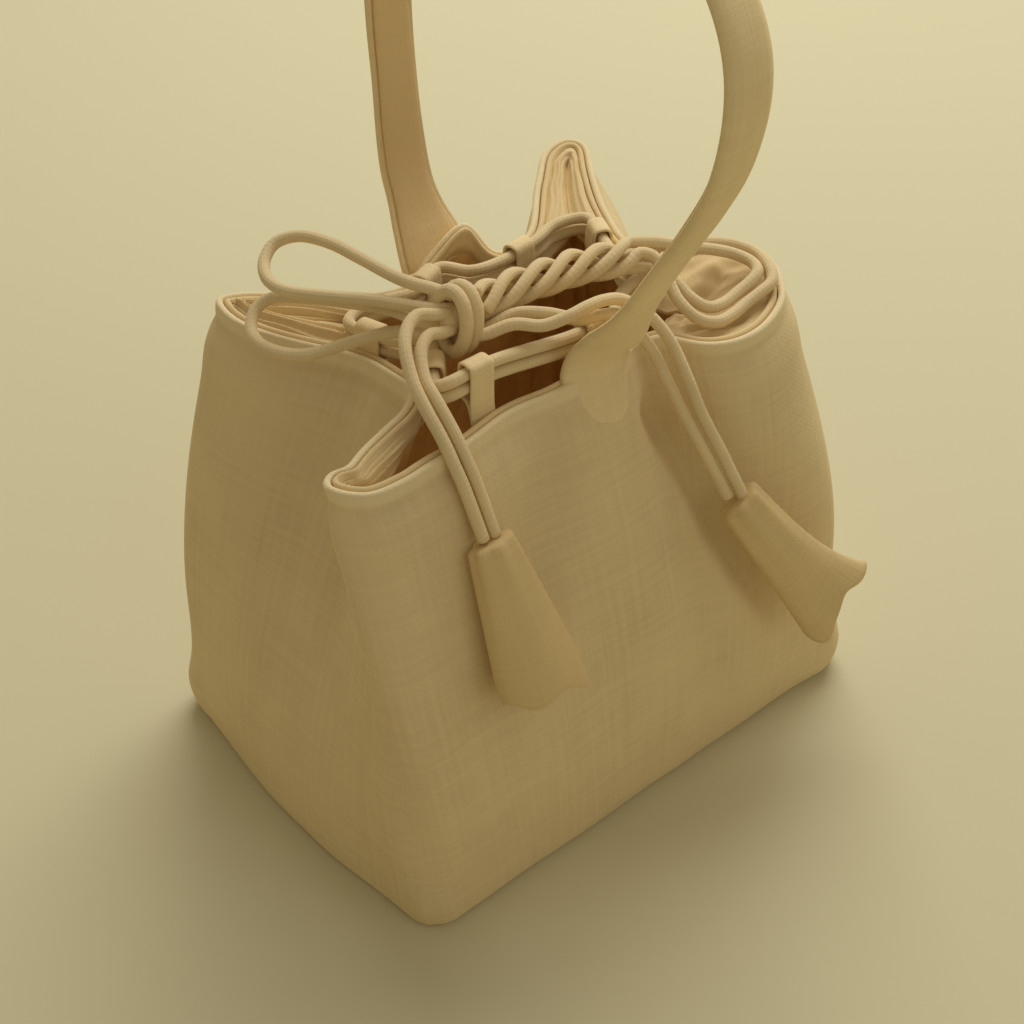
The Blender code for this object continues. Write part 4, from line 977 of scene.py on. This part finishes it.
def add_lining():
    """The lining: rolled over at the rim, and gathered into soft terraces in each lobe."""
    out, back = shell_rows(*LINING_DEPTHS, LINING_ROWS)
    out = out[:1] + out[LINING_EDGE_START::2]
    shelf = np.linspace(0.0, 1.0, SHELF_ROWS)
    fall = np.linspace(0.0, 1.0, FALL_ROWS + 1)[1:]
    shares = [FILL_TOP + (FILL_LOW - FILL_TOP) * part for part in shelf]
    shares += [FILL_LOW + (FILL_END - FILL_LOW) * part for part in fall]
    shares += list(np.linspace(FILL_END, back[-1][0], DEEP_ROWS + 1)[1:])
    table = shell_table(out + [(share, LINING_DEPTHS[1], 0.0) for share in shares])
    top = table[len(out)][:-1]
    column = np.arange(len(top)) / COLUMNS_PER_POINT
    inward = inward_steps(outline_at(*rim_and_base(COLUMNS_PER_POINT), FILL_TOP))
    inside, drop, swell, ripple, longest = lobe_sizes(column)
    room = room_across(top, inward) / 2
    reach = np.minimum(smoothed(np.minimum(room, longest), REACH_ROUNDS), room)
    aim = smoothed(top[:, :2] + inward * reach[:, None], AIM_ROUNDS)
    level = inside * (FILL_TOP - FILL_LOW) * RIM_HEIGHT - drop
    wobble = 0.9 * np.sin(column * 2.3) + 0.5 * np.sin(column * 5.1)
    pleats = PLEAT_DEPTH * np.sin(column * 5.7 + 1.1 * np.sin(column * 1.7))
    fan = FAN_HEIGHT * (1.0 - step(*FAN_REACH, np.abs(column_gap(column, LOBE_FILLS[1][0]))))
    for index, row in enumerate(table[len(out):]):
        if index < SHELF_ROWS:
            part = shelf[index]
            waves = ripple * np.sin(math.tau * 3.2 * part + wobble) * step(0.0, 0.2, part)
            lift = level * part + waves + swell * math.sin(math.pi * part ** 0.8)
        else:
            part = 1.0 - step(0.0, 1.0, (index - SHELF_ROWS + 1) / FALL_ROWS)
            lift = level * part
        points = row[:-1]
        loose = pleats * step(1.0, 0.93, shares[index]) * (1.0 - inside * part)
        points[:, :2] += inward * (reach * part * (1.0 - inside) + loose)[:, None]
        points[:, :2] += (aim - points[:, :2]) * (inside * part)[:, None]
        turn = np.arctan2(points[:, 1] - FAN_ROOT[1], points[:, 0] - FAN_ROOT[0])
        points[:, 2] += lift + fan * np.sin(turn * FAN_COUNT + 0.6) * step(0.08, 0.3, part)
        row[-1] = row[0]
    under = flat_rows(table[0], BASE_LINING_HEIGHTS[0], LINING_BOTTOM_SHARES)
    floor = flat_rows(table[-1], BASE_LINING_HEIGHTS[1], LINING_FLOOR_SHARES)
    whole = np.array(under + table + floor)
    wear_and_painted_light = np.zeros(whole.shape[:2])
    edge = len(under) + len(out)
    # The lining's rim and fill show the outer cloth's colour, a little darker: painted shade in place of the
    # painted glow.
    wear_and_painted_light[edge - RIM_EDGE_STEPS:edge + SHELF_ROWS] = LINING_SHADED_CLOTH_SHARE
    piece = cloth_grid("lining_shell", whole, wear_and_painted_light=wear_and_painted_light)
    nodes = [f"{wall}_lining" for wall in WALLS]
    finish_piece(piece, "bag", "lining_cloth", "cotton_lining_cloth", *nodes, "base_lining")


# Tabs


def coarse_outline(share, depth):
    rim, base = rim_and_base(1)
    outline = outline_at(rim, base, share)
    outline[:, :2] += mitres(outline) * depth
    return outline


def rim_frame(wall, share):
    """Place on the lining's inner face at the rim, with the inward and the along directions."""
    first = WALL_START[wall]
    place = first + share * len(RIM_SHARES[wall])
    low = int(place)
    top = coarse_outline(1.0, WALL_THICKNESS)
    below = coarse_outline(TAB_LEAN_SHARE, WALL_THICKNESS)
    start, end = top[low % COLUMN_COUNT], top[(low + 1) % COLUMN_COUNT]
    point = start + (end - start) * (place - low)
    lower = below[low % COLUMN_COUNT]
    lower = lower + (below[(low + 1) % COLUMN_COUNT] - lower) * (place - low)
    along = unit((end - start) * (1.0, 1.0, 0.0))
    inward = np.array((-along[1], along[0], 0.0))
    return point, inward, along, np.dot(point - lower, inward) / (point[2] - lower[2])


def cord_spacing():
    return settings().cord_diameter + DRAWCORD_GAP


def tab_eye_depth():
    return TAB_SEAT_CLEARANCE + TAB_CLOTH + CORD_CLEARANCE + settings().cord_diameter / 2


def cord_level(cord, rise_share):
    """Height above the rim of the lower (0) and the upper (1) drawcord in a tab."""
    top = TAB_RISE * rise_share - TAB_CLOTH - TAB_FOLD_SPARE
    return top - CORD_CLEARANCE - settings().cord_diameter / 2 - (1 - cord) * cord_spacing()


def strip_section(half_width, half_cloth):
    """A thin section with round edges, as offsets across it and through it."""
    angles = np.linspace(-math.pi / 2, math.pi / 2, STRIP_EDGE_STEPS + 1)
    flat = half_width - half_cloth
    right = np.column_stack([flat + np.cos(angles) * half_cloth, np.sin(angles) * half_cloth])
    inner = np.linspace(1.0, -1.0, STRIP_FACE_POINTS + 2)[1:-1] * flat
    top = np.column_stack([inner, np.full(STRIP_FACE_POINTS, half_cloth)])
    return np.vstack([right, top, -right, -top])


def add_tab(label, wall, share, rise_share):
    """A strip of the bag's cloth folded over both drawcords and sewn inside the rim."""
    point, inward, along, lean = rim_frame(wall, share)
    rise = TAB_RISE * rise_share
    eye = 2 * settings().cord_diameter + DRAWCORD_GAP + 2 * CORD_CLEARANCE + 2 * TAB_FOLD_SPARE
    eye_start = rise - eye - TAB_CLOTH
    half_cloth = TAB_CLOTH / 2
    outer = TAB_SEAT_CLEARANCE + half_cloth
    sewn_inner = outer + TAB_CLOTH + CORD_CLEARANCE
    eye_inner = tab_eye_depth() + settings().cord_diameter / 2 + CORD_CLEARANCE + half_cloth
    crown = (outer + eye_inner) / 2
    bend = eye_inner - crown
    crest = rise - half_cloth - bend / 6
    foot = -TAB_SEWN_DEPTH
    route = (
        (outer + lean * foot, foot), (outer, 0.0), (outer, rise - bend), (crown - bend / 2, crest),
        (crown + bend / 2, crest), (eye_inner, rise - bend), (eye_inner, eye_start),
        (sewn_inner, eye_start - bend), (sewn_inner + lean * foot, foot),
    )
    points = [point + inward * depth + np.array((0.0, 0.0, height)) for depth, height in route]
    path = spline_points(points, TAB_STEP)
    normals = unit(np.cross(unit(np.gradient(path, axis=0)), along))
    sections = [
        strip_section(TAB_WIDTH / 2 * (1.0 + TAB_FLARE * math.cos(math.tau * part)), half_cloth)
        for part in np.linspace(0.0, 1.0, len(path))
    ]
    piece = cloth_grid(f"tab_{label}", sweep_table(path, [along] * len(path), normals, sections))
    # The tab's cloth is drawn lighter than the wall's: painted glow.
    finish_piece(piece, "bag", "outer_cloth", "tape_cotton_painted_glow", f"cord_tab_{label}")


# Cords


def ring_route(cord):
    """Route of one drawcord round the mouth, from the knot through every tab and back."""
    lift = np.array((0.0, 0.0, cord_spacing() * cord))
    route = list(from_rim(RING_START_ROUTES[cord]))
    for label, wall, share, rise_share in TAB_PLACES[-1:] + TAB_PLACES[:-1]:
        point, inward, along, _ = rim_frame(wall, share)
        eye = point + inward * tab_eye_depth() + np.array((0.0, 0.0, cord_level(cord, rise_share)))
        reach = along * (TAB_WIDTH / 2 + TAB_EYE_OVERRUN)
        route += [eye - reach, eye + reach]
        route += [from_rim(corner) + lift for corner in RING_ROUTES_AFTER.get(label, ())]
    return np.array(route + list(from_rim(RING_END_ROUTES[cord])))


def twist_strand(phase):
    """One strand of the twisted run that leads to the right-hand bow loops."""
    middle = spline_points(from_rim(TWIST_ROUTE), TWIST_POINT_GAP)
    last = len(middle) - 1
    strand = []
    for index, mark in enumerate(np.linspace(0.0, last, TWIST_STEPS + 1)):
        centre = np.array([np.interp(mark, range(last + 1), middle[:, axis]) for axis in range(3)])
        ahead = unit(middle[min(int(mark) + 1, last)] - middle[max(int(mark) - 1, 0)])
        side = unit(np.cross(ahead, (0.0, 0.0, 1.0)))
        up = np.cross(side, ahead)
        angle = phase + math.tau * TWIST_TURNS * index / TWIST_STEPS
        strand.append(centre + TWIST_RADIUS * (math.cos(angle) * side + math.sin(angle) * up))
    return strand


def loop_route(phase, loop):
    """A right-hand loop's route: out along one strand of the twist, and back along the opposite."""
    there, back = twist_strand(phase), twist_strand(phase + math.pi)
    return np.array([*there, *from_rim(loop), *back[::-1]])


def add_cord(name, route, nodes, bend=None):
    """A cotton cord that follows its route.

    It lies on the bag; when a bend is given it is put on no body and its place is baked into its mesh, and
    the bend's stretch is not used.
    """
    piece, path = cord_mesh(name, route, settings().cord_diameter)
    finish_piece(piece, None if bend else "bag", "cord", "knitted_cotton_cord", *nodes)
    if bend:
        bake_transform(piece)


def add_knot():
    """The bow's knot: two turns of cord wrapped round the crossing strands."""
    turns = np.linspace(*KNOT_TURNS, KNOT_POINTS)
    angles = math.tau * turns + KNOT_START
    wraps = np.column_stack([
        KNOT_FIRST + KNOT_PITCH * turns + KNOT_SWAY * np.sin(angles),
        KNOT_HALF_DEPTH * np.cos(angles) - KNOT_SWAY,
        KNOT_HALF_HEIGHT * np.sin(angles),
    ]) * MM
    wraps[:, 0] += KNOT_LEAN * wraps[:, 2]
    diameter = settings().cord_diameter
    piece, _ = cord_mesh("bow_knot_wraps", from_rim(KNOT_CENTRE) + wraps, diameter * KNOT_WRAP_SIZE)
    finish_piece(piece, "bag", "cord", "knitted_cotton_cord", "bow_knot")
    filling, _ = cord_mesh("bow_knot_filling", from_rim(KNOT_CROSSING), diameter * KNOT_FILLING_SIZE)
    finish_piece(filling, "bag", "cord", "knitted_cotton_cord")
    return piece, filling


# Handle


def front_face(height):
    """How far back the front wall's outer face lies at the strap, at a height."""
    rim, base = rim_and_base(FACE_STEPS)
    share = (height - WALL_FOOT) / (RIM_HEIGHT - WALL_FOOT)
    column = np.arange(len(rim)) / FACE_STEPS
    outline = outline_at(rim, base, share)
    outline[:, :2] -= inward_steps(outline) * fold_field(column, share)[:, None]
    wall = outline[:len(RIM_SHARES["front"]) * FACE_STEPS]
    return float(np.interp(HANDLE_X, wall[:, 0], wall[:, 1]))


def strap_line():
    """The strap's middle line, with its side and outward directions.

    It starts under the front wall's face, runs up along it as a skirt, and leaves it at the rim.
    """
    skirt = [(front_face(RIM_HEIGHT - drop * MM) / MM + sink, -drop) for drop, sink in STRAP_SKIRT]
    route = [(HANDLE_X / MM, *place) for place in (*skirt, *STRAP_ROUTE)]
    points = spline_points(from_rim(route), STRAP_STEP)
    runs = run_lengths(points)
    above = runs - np.interp(0.0, points[:40, 2] - RIM_HEIGHT, runs[:40])
    turn = np.radians(np.interp(above / above[-1], *zip(*STRAP_TWIST)))[:, None]
    ahead = unit(np.gradient(points, axis=0))
    level = np.array((1.0, 0.0, 0.0))
    sides = level * np.cos(turn) - np.cross(ahead, level) * np.sin(turn)
    return points, unit(sides), unit(np.cross(sides, ahead)), above


def hold_strap(piece):
    """Bake a layer of the strap's place into its mesh."""
    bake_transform(piece)


def add_strap():
    """The handle: an outer strap that grows out of the wall, and a narrower lining under it."""
    points, sides, normals, above = strap_line()
    width = settings().strap_width
    root = np.minimum(np.maximum(above, 0.0), above[-1] - above)
    halves = (width + (ROOT_WIDTH - width) * step(ROOT_RUN, 0.0, root)) / 2
    halves += SKIRT_SPREAD * step(*SKIRT_RUN, above)
    wave = sum(height * np.sin(above / run + phase) for height, run, phase in STRAP_WAVES)
    cover = []
    lows, highs = step(*SKIRT_EDGE_RUN, above), step(*SKIRT_CUT_RUN, above)
    for half, ripple, low, high in zip(halves, wave, lows, highs):
        section = strip_section(half + ripple, STRAP_COVER / 2 + STRAP_PADDING)
        across = section[:, 0] / half
        section[:, 1] += STRAP_COVER / 2 + STRAP_CROWN * (1.0 - across ** 2)
        section[:, 1] -= SKIRT_EDGE_DEPTH * low * np.abs(across) ** 3
        section[:, 1] -= STRAP_EDGE_ROLL * (1.0 - low) * across ** 6
        section[:, 0] *= np.where(across > 0.0, 1.0 - SKIRT_CUT * high, 1.0)
        cover.append(section)
    piece = cloth_grid("handle_strap_outer", sweep_table(points, sides, normals, cover))
    nodes = ("handle_strap_cover", "handle_root_front", "handle_root_back")
    # The strap's cover is drawn lighter than the wall's: painted glow for light through the thin strap.
    finish_piece(piece, None, "outer_cloth", "tape_cotton_painted_glow", *nodes)
    hold_strap(piece)
    inner = []
    for half in halves:
        section = strip_section(half - STRAP_LINING_INSET, STRAP_LINING / 2)
        section[:, 1] -= LAYER_CLEARANCE + STRAP_LINING / 2
        inner.append(section)
    start = int(np.argmax(above > 0.0))
    table = sweep_table(points[start:], sides[start:], normals[start:], inner[start:])
    under = cloth_grid("handle_strap_under", table, wear_and_painted_light=np.full(table.shape[:2], STRAP_LINING_SHADED_CLOTH_SHARE))
    finish_piece(under, None, "lining_cloth", "cotton_lining_cloth", "handle_strap_lining")
    hold_strap(under)


# Tassels


def add_tassel(side, form):
    """A roll of cloth gathered at its top and open at its hem."""
    top, end = from_rim(form["top"]), from_rim(form["end"])
    ahead = unit(end - top)
    across = unit(np.cross(ahead, (0.0, 1.0, 0.0)))
    depth = np.cross(across, ahead)
    length = np.linalg.norm(end - top)
    angles = np.arange(TASSEL_SIDES + 1) * math.tau / TASSEL_SIDES
    phases = np.random.default_rng(form["seed"]).uniform(0, math.tau, 4)

    def ring(share, inset, drop=0.0):
        waves = np.sin(angles * 2 + phases[1]) + 0.7 * np.sin(angles * 3 + phases[2] + 2 * share)
        reach = TASSEL_ROOT_RADIUS + form["flare"] * min(share / form["widest"], 1.0) ** 0.9 - inset
        reach = reach + TASSEL_GATHER * np.sin(angles * 7 + phases[0]) * (1 - share) ** 2
        reach = reach + TASSEL_WAVE * share ** 1.5 * waves
        fall = length * (share - form["tilt"] * share ** 2 * (1 - np.cos(angles)) / 2) + drop
        fall = fall + HEM_WAVE * share ** 3 * np.sin(angles * 4 + phases[3])
        for place, half, out, down in form["bumps"]:
            rise = hill((angles - place + math.pi) % math.tau - math.pi, half)
            reach = reach + out * rise * share ** 3.2
            fall = fall + down * rise * share ** 4
        squash = 0.66 - 0.14 * share
        return (
            top + np.outer(fall, ahead) + np.outer(np.cos(angles) * reach, across)
            + np.outer(np.sin(angles) * reach * squash, depth)
        )

    middle = np.zeros((TASSEL_SIDES + 1, 3)) + top
    shares = np.linspace(0.05, 1.0, 30)
    outside = [middle - ahead * TASSEL_TOP_RISE]
    outside += [ring(share, inset) for share, inset in TASSEL_SHOULDER]
    outside += [ring(share, 0.0) for share in shares]
    inside = [ring(1.0, TASSEL_CLOTH / 2, TASSEL_CLOTH / 2)]
    inside += [ring(share, TASSEL_CLOTH) for share in shares[::-1] if share > 0.12]
    inside += [ring(TASSEL_FILLED, TASSEL_FILLED_INSET), middle + ahead * length * TASSEL_FILLED]
    whole = np.array(outside + inside)
    wear_and_painted_light = np.zeros(whole.shape[:2])
    # The inside of the roll shows the lining's colour: painted glow.
    wear_and_painted_light[len(outside):] = TASSEL_INSIDE_GLOW_SHARE
    piece = cloth_grid(f"{side}_tassel_cloth", whole, wear_and_painted_light=wear_and_painted_light)
    # The tassel's cloth is drawn darker and warmer than the wall's: painted shade.
    finish_piece(piece, f"{side}_tassel_drop", "outer_cloth", "tassel_cotton_painted_shade_and_glow", f"{side}_tassel")
    return piece


def add_tail(side, form):
    """The two cords of a tail, from the knot over the rim to the tassel."""
    hinge = np.array(form["hinge"])
    bend = (f"{side}_tassel_drop", hinge + TAIL_BEND_BEFORE, hinge + TAIL_BEND_AFTER)
    for label in ("outer", "inner"):
        nodes = (f"{side}_tail_{label}", f"{side}_drop_{label}")
        name = f"{side}_tail_cord_{label}"
        add_cord(name, from_rim(form[label]), nodes, bend)


# Operators


def turn_to(piece, target):
    """Turn a lamp or the camera towards a place."""
    piece.rotation_euler = (Vector(target) - piece.location).to_track_quat("-Z", "Y").to_euler()


class TEABAG_OT_stage(bpy.types.Operator):
    """Make the pale floor, the soft lamps and the camera"""

    bl_idname = "tea_bag.stage"
    bl_label = "Stage"

    def execute(self, context):
        clear_selection()
        bpy.ops.mesh.primitive_plane_add(size=FLOOR_SIZE, location=(0.0, 0.0, 0.0))
        floor = bpy.context.object
        floor.name = "floor"
        floor.data.materials.append(bag_material("matt_painted_floor"))

        for name, (place, aim, size, share) in LAMPS.items():
            bpy.ops.object.light_add(type="AREA", location=place)
            lamp = bpy.context.object
            lamp.name = name
            lamp.data.size = size
            lamp.data.energy = settings().key_power * share
            turn_to(lamp, aim)

        world = bpy.data.worlds.new("soft_room")
        context.scene.world = world
        world.use_nodes = True
        tree = world.node_tree
        tree.nodes.clear()
        rays = add_node(tree, "LightPath", out=None)
        seen = {0: rays["Is Camera Ray"], 1: rays["Is Glossy Ray"]}
        seen = {0: add_node(tree, "Math", seen, operation="MAXIMUM"), 1: rays["Is Transmission Ray"]}
        seen = add_node(tree, "Math", seen, operation="MAXIMUM")
        room = add_node(tree, "Background", {"Color": linear("#FFF0D2"), "Strength": ROOM_LIGHT})
        shown = add_node(tree, "Background", {"Color": settings().floor_colour, "Strength": 1.0})
        both = add_node(tree, "MixShader", {0: seen, 1: room, 2: shown})
        add_node(tree, "OutputWorld", {"Surface": both}, out=None)
        context.scene.view_settings.view_transform = "Standard"

        bpy.ops.object.camera_add(location=CAMERA_PLACE)
        camera = bpy.context.object
        camera.name = "photo_camera"
        turn_to(camera, CAMERA_TARGET)
        camera.data.sensor_width = CAMERA_SENSOR
        camera.data.lens = CAMERA_LENS
        camera.data.clip_start = CAMERA_NEAR
        context.scene.camera = camera
        return {"FINISHED"}


class TEABAG_OT_bow(bpy.types.Operator):
    """Make the bow: its knot, the twisted run and the four loops"""

    bl_idname = "tea_bag.bow"
    bl_label = "Bow"

    def execute(self, context):
        wraps = add_knot()
        for name, route, with_pieces in (
            ("left_{}_upper", from_rim(LEFT_LOOP_UPPER), wraps),
            ("left_{}_lower", from_rim(LEFT_LOOP_LOWER), ()),
            ("right_{}_outer", loop_route(math.pi / 2, RIGHT_LOOP_OUTER), ()),
            ("right_{}_inner", loop_route(0.0, RIGHT_LOOP_INNER), ()),
        ):
            nodes = (name.format("bow_loop"),)
            add_cord(name.format("loop_cord"), route, nodes)
        return {"FINISHED"}


class TEABAG_OT_drawcords(bpy.types.Operator):
    """Make the two drawcords round the mouth"""

    bl_idname = "tea_bag.drawcords"
    bl_label = "Drawcords"

    def execute(self, context):
        for cord, level in enumerate(("lower", "upper")):
            name = f"drawcord_{level}"
            add_cord(f"{name}_cord", ring_route(cord), (name,))
        return {"FINISHED"}


class TEABAG_OT_tassels(bpy.types.Operator):
    """Make the two tassels and the cords that they hang on"""

    bl_idname = "tea_bag.tassels"
    bl_label = "Tails and tassels"

    def execute(self, context):
        pieces = {side: add_tassel(side, form) for side, form in TASSELS.items()}
        for side, form in TASSELS.items():
            add_tail(side, form)
        return {"FINISHED"}


class TEABAG_OT_walls(bpy.types.Operator):
    """Make the outer cloth, the wadding and the lining"""

    bl_idname = "tea_bag.walls"
    bl_label = "Walls and base"

    def execute(self, context):
        add_outer_shell()
        add_wadding()
        add_lining()
        for node, kind in (("base_board", "pressed_fibre_board"), ("base_padding", "cotton_wadding")):
            materials = NODES[node].data.materials
            materials.clear()
            materials.append(bag_material(kind))
        return {"FINISHED"}


class TEABAG_OT_tabs(bpy.types.Operator):
    """Make the cloth tabs that hold the drawcords"""

    bl_idname = "tea_bag.tabs"
    bl_label = "Cord tabs"

    def execute(self, context):
        for place in TAB_PLACES:
            add_tab(*place)
        return {"FINISHED"}


class TEABAG_OT_handle(bpy.types.Operator):
    """Make the handle's strap and its lining"""

    bl_idname = "tea_bag.handle"
    bl_label = "Handle"

    def execute(self, context):
        add_strap()
        return {"FINISHED"}


class TEABAG_PT_panel(bpy.types.Panel):
    """Sizes, colours and steps of the tea set storage bag"""

    bl_idname = "TEABAG_PT_panel"
    bl_label = "Tea Set Storage Bag"
    bl_space_type = "VIEW_3D"
    bl_region_type = "UI"
    bl_category = "Tea Bag"

    def draw(self, context):
        layout = self.layout
        for key in TeaBagSettings.__annotations__:
            layout.prop(context.scene.tea_bag, key)
        for operator in OPERATORS:
            layout.operator(operator.bl_idname)


OPERATORS = (
    TEABAG_OT_stage, TEABAG_OT_bow, TEABAG_OT_drawcords, TEABAG_OT_tassels, TEABAG_OT_walls,
    TEABAG_OT_tabs, TEABAG_OT_handle,
)
CLASSES = (TeaBagSettings, *OPERATORS, TEABAG_PT_panel)


def register():
    for item in CLASSES:
        bpy.utils.register_class(item)
    bpy.types.Scene.tea_bag = bpy.props.PointerProperty(type=TeaBagSettings)


def unregister():
    del bpy.types.Scene.tea_bag
    for item in reversed(CLASSES):
        bpy.utils.unregister_class(item)


def main():
    """Build everything in order."""
    register()
    clear_selection()
    for operator in OPERATORS:
        group, name = operator.bl_idname.split(".")
        getattr(getattr(bpy.ops, group), name)()


if __name__ == "__main__":
    main()
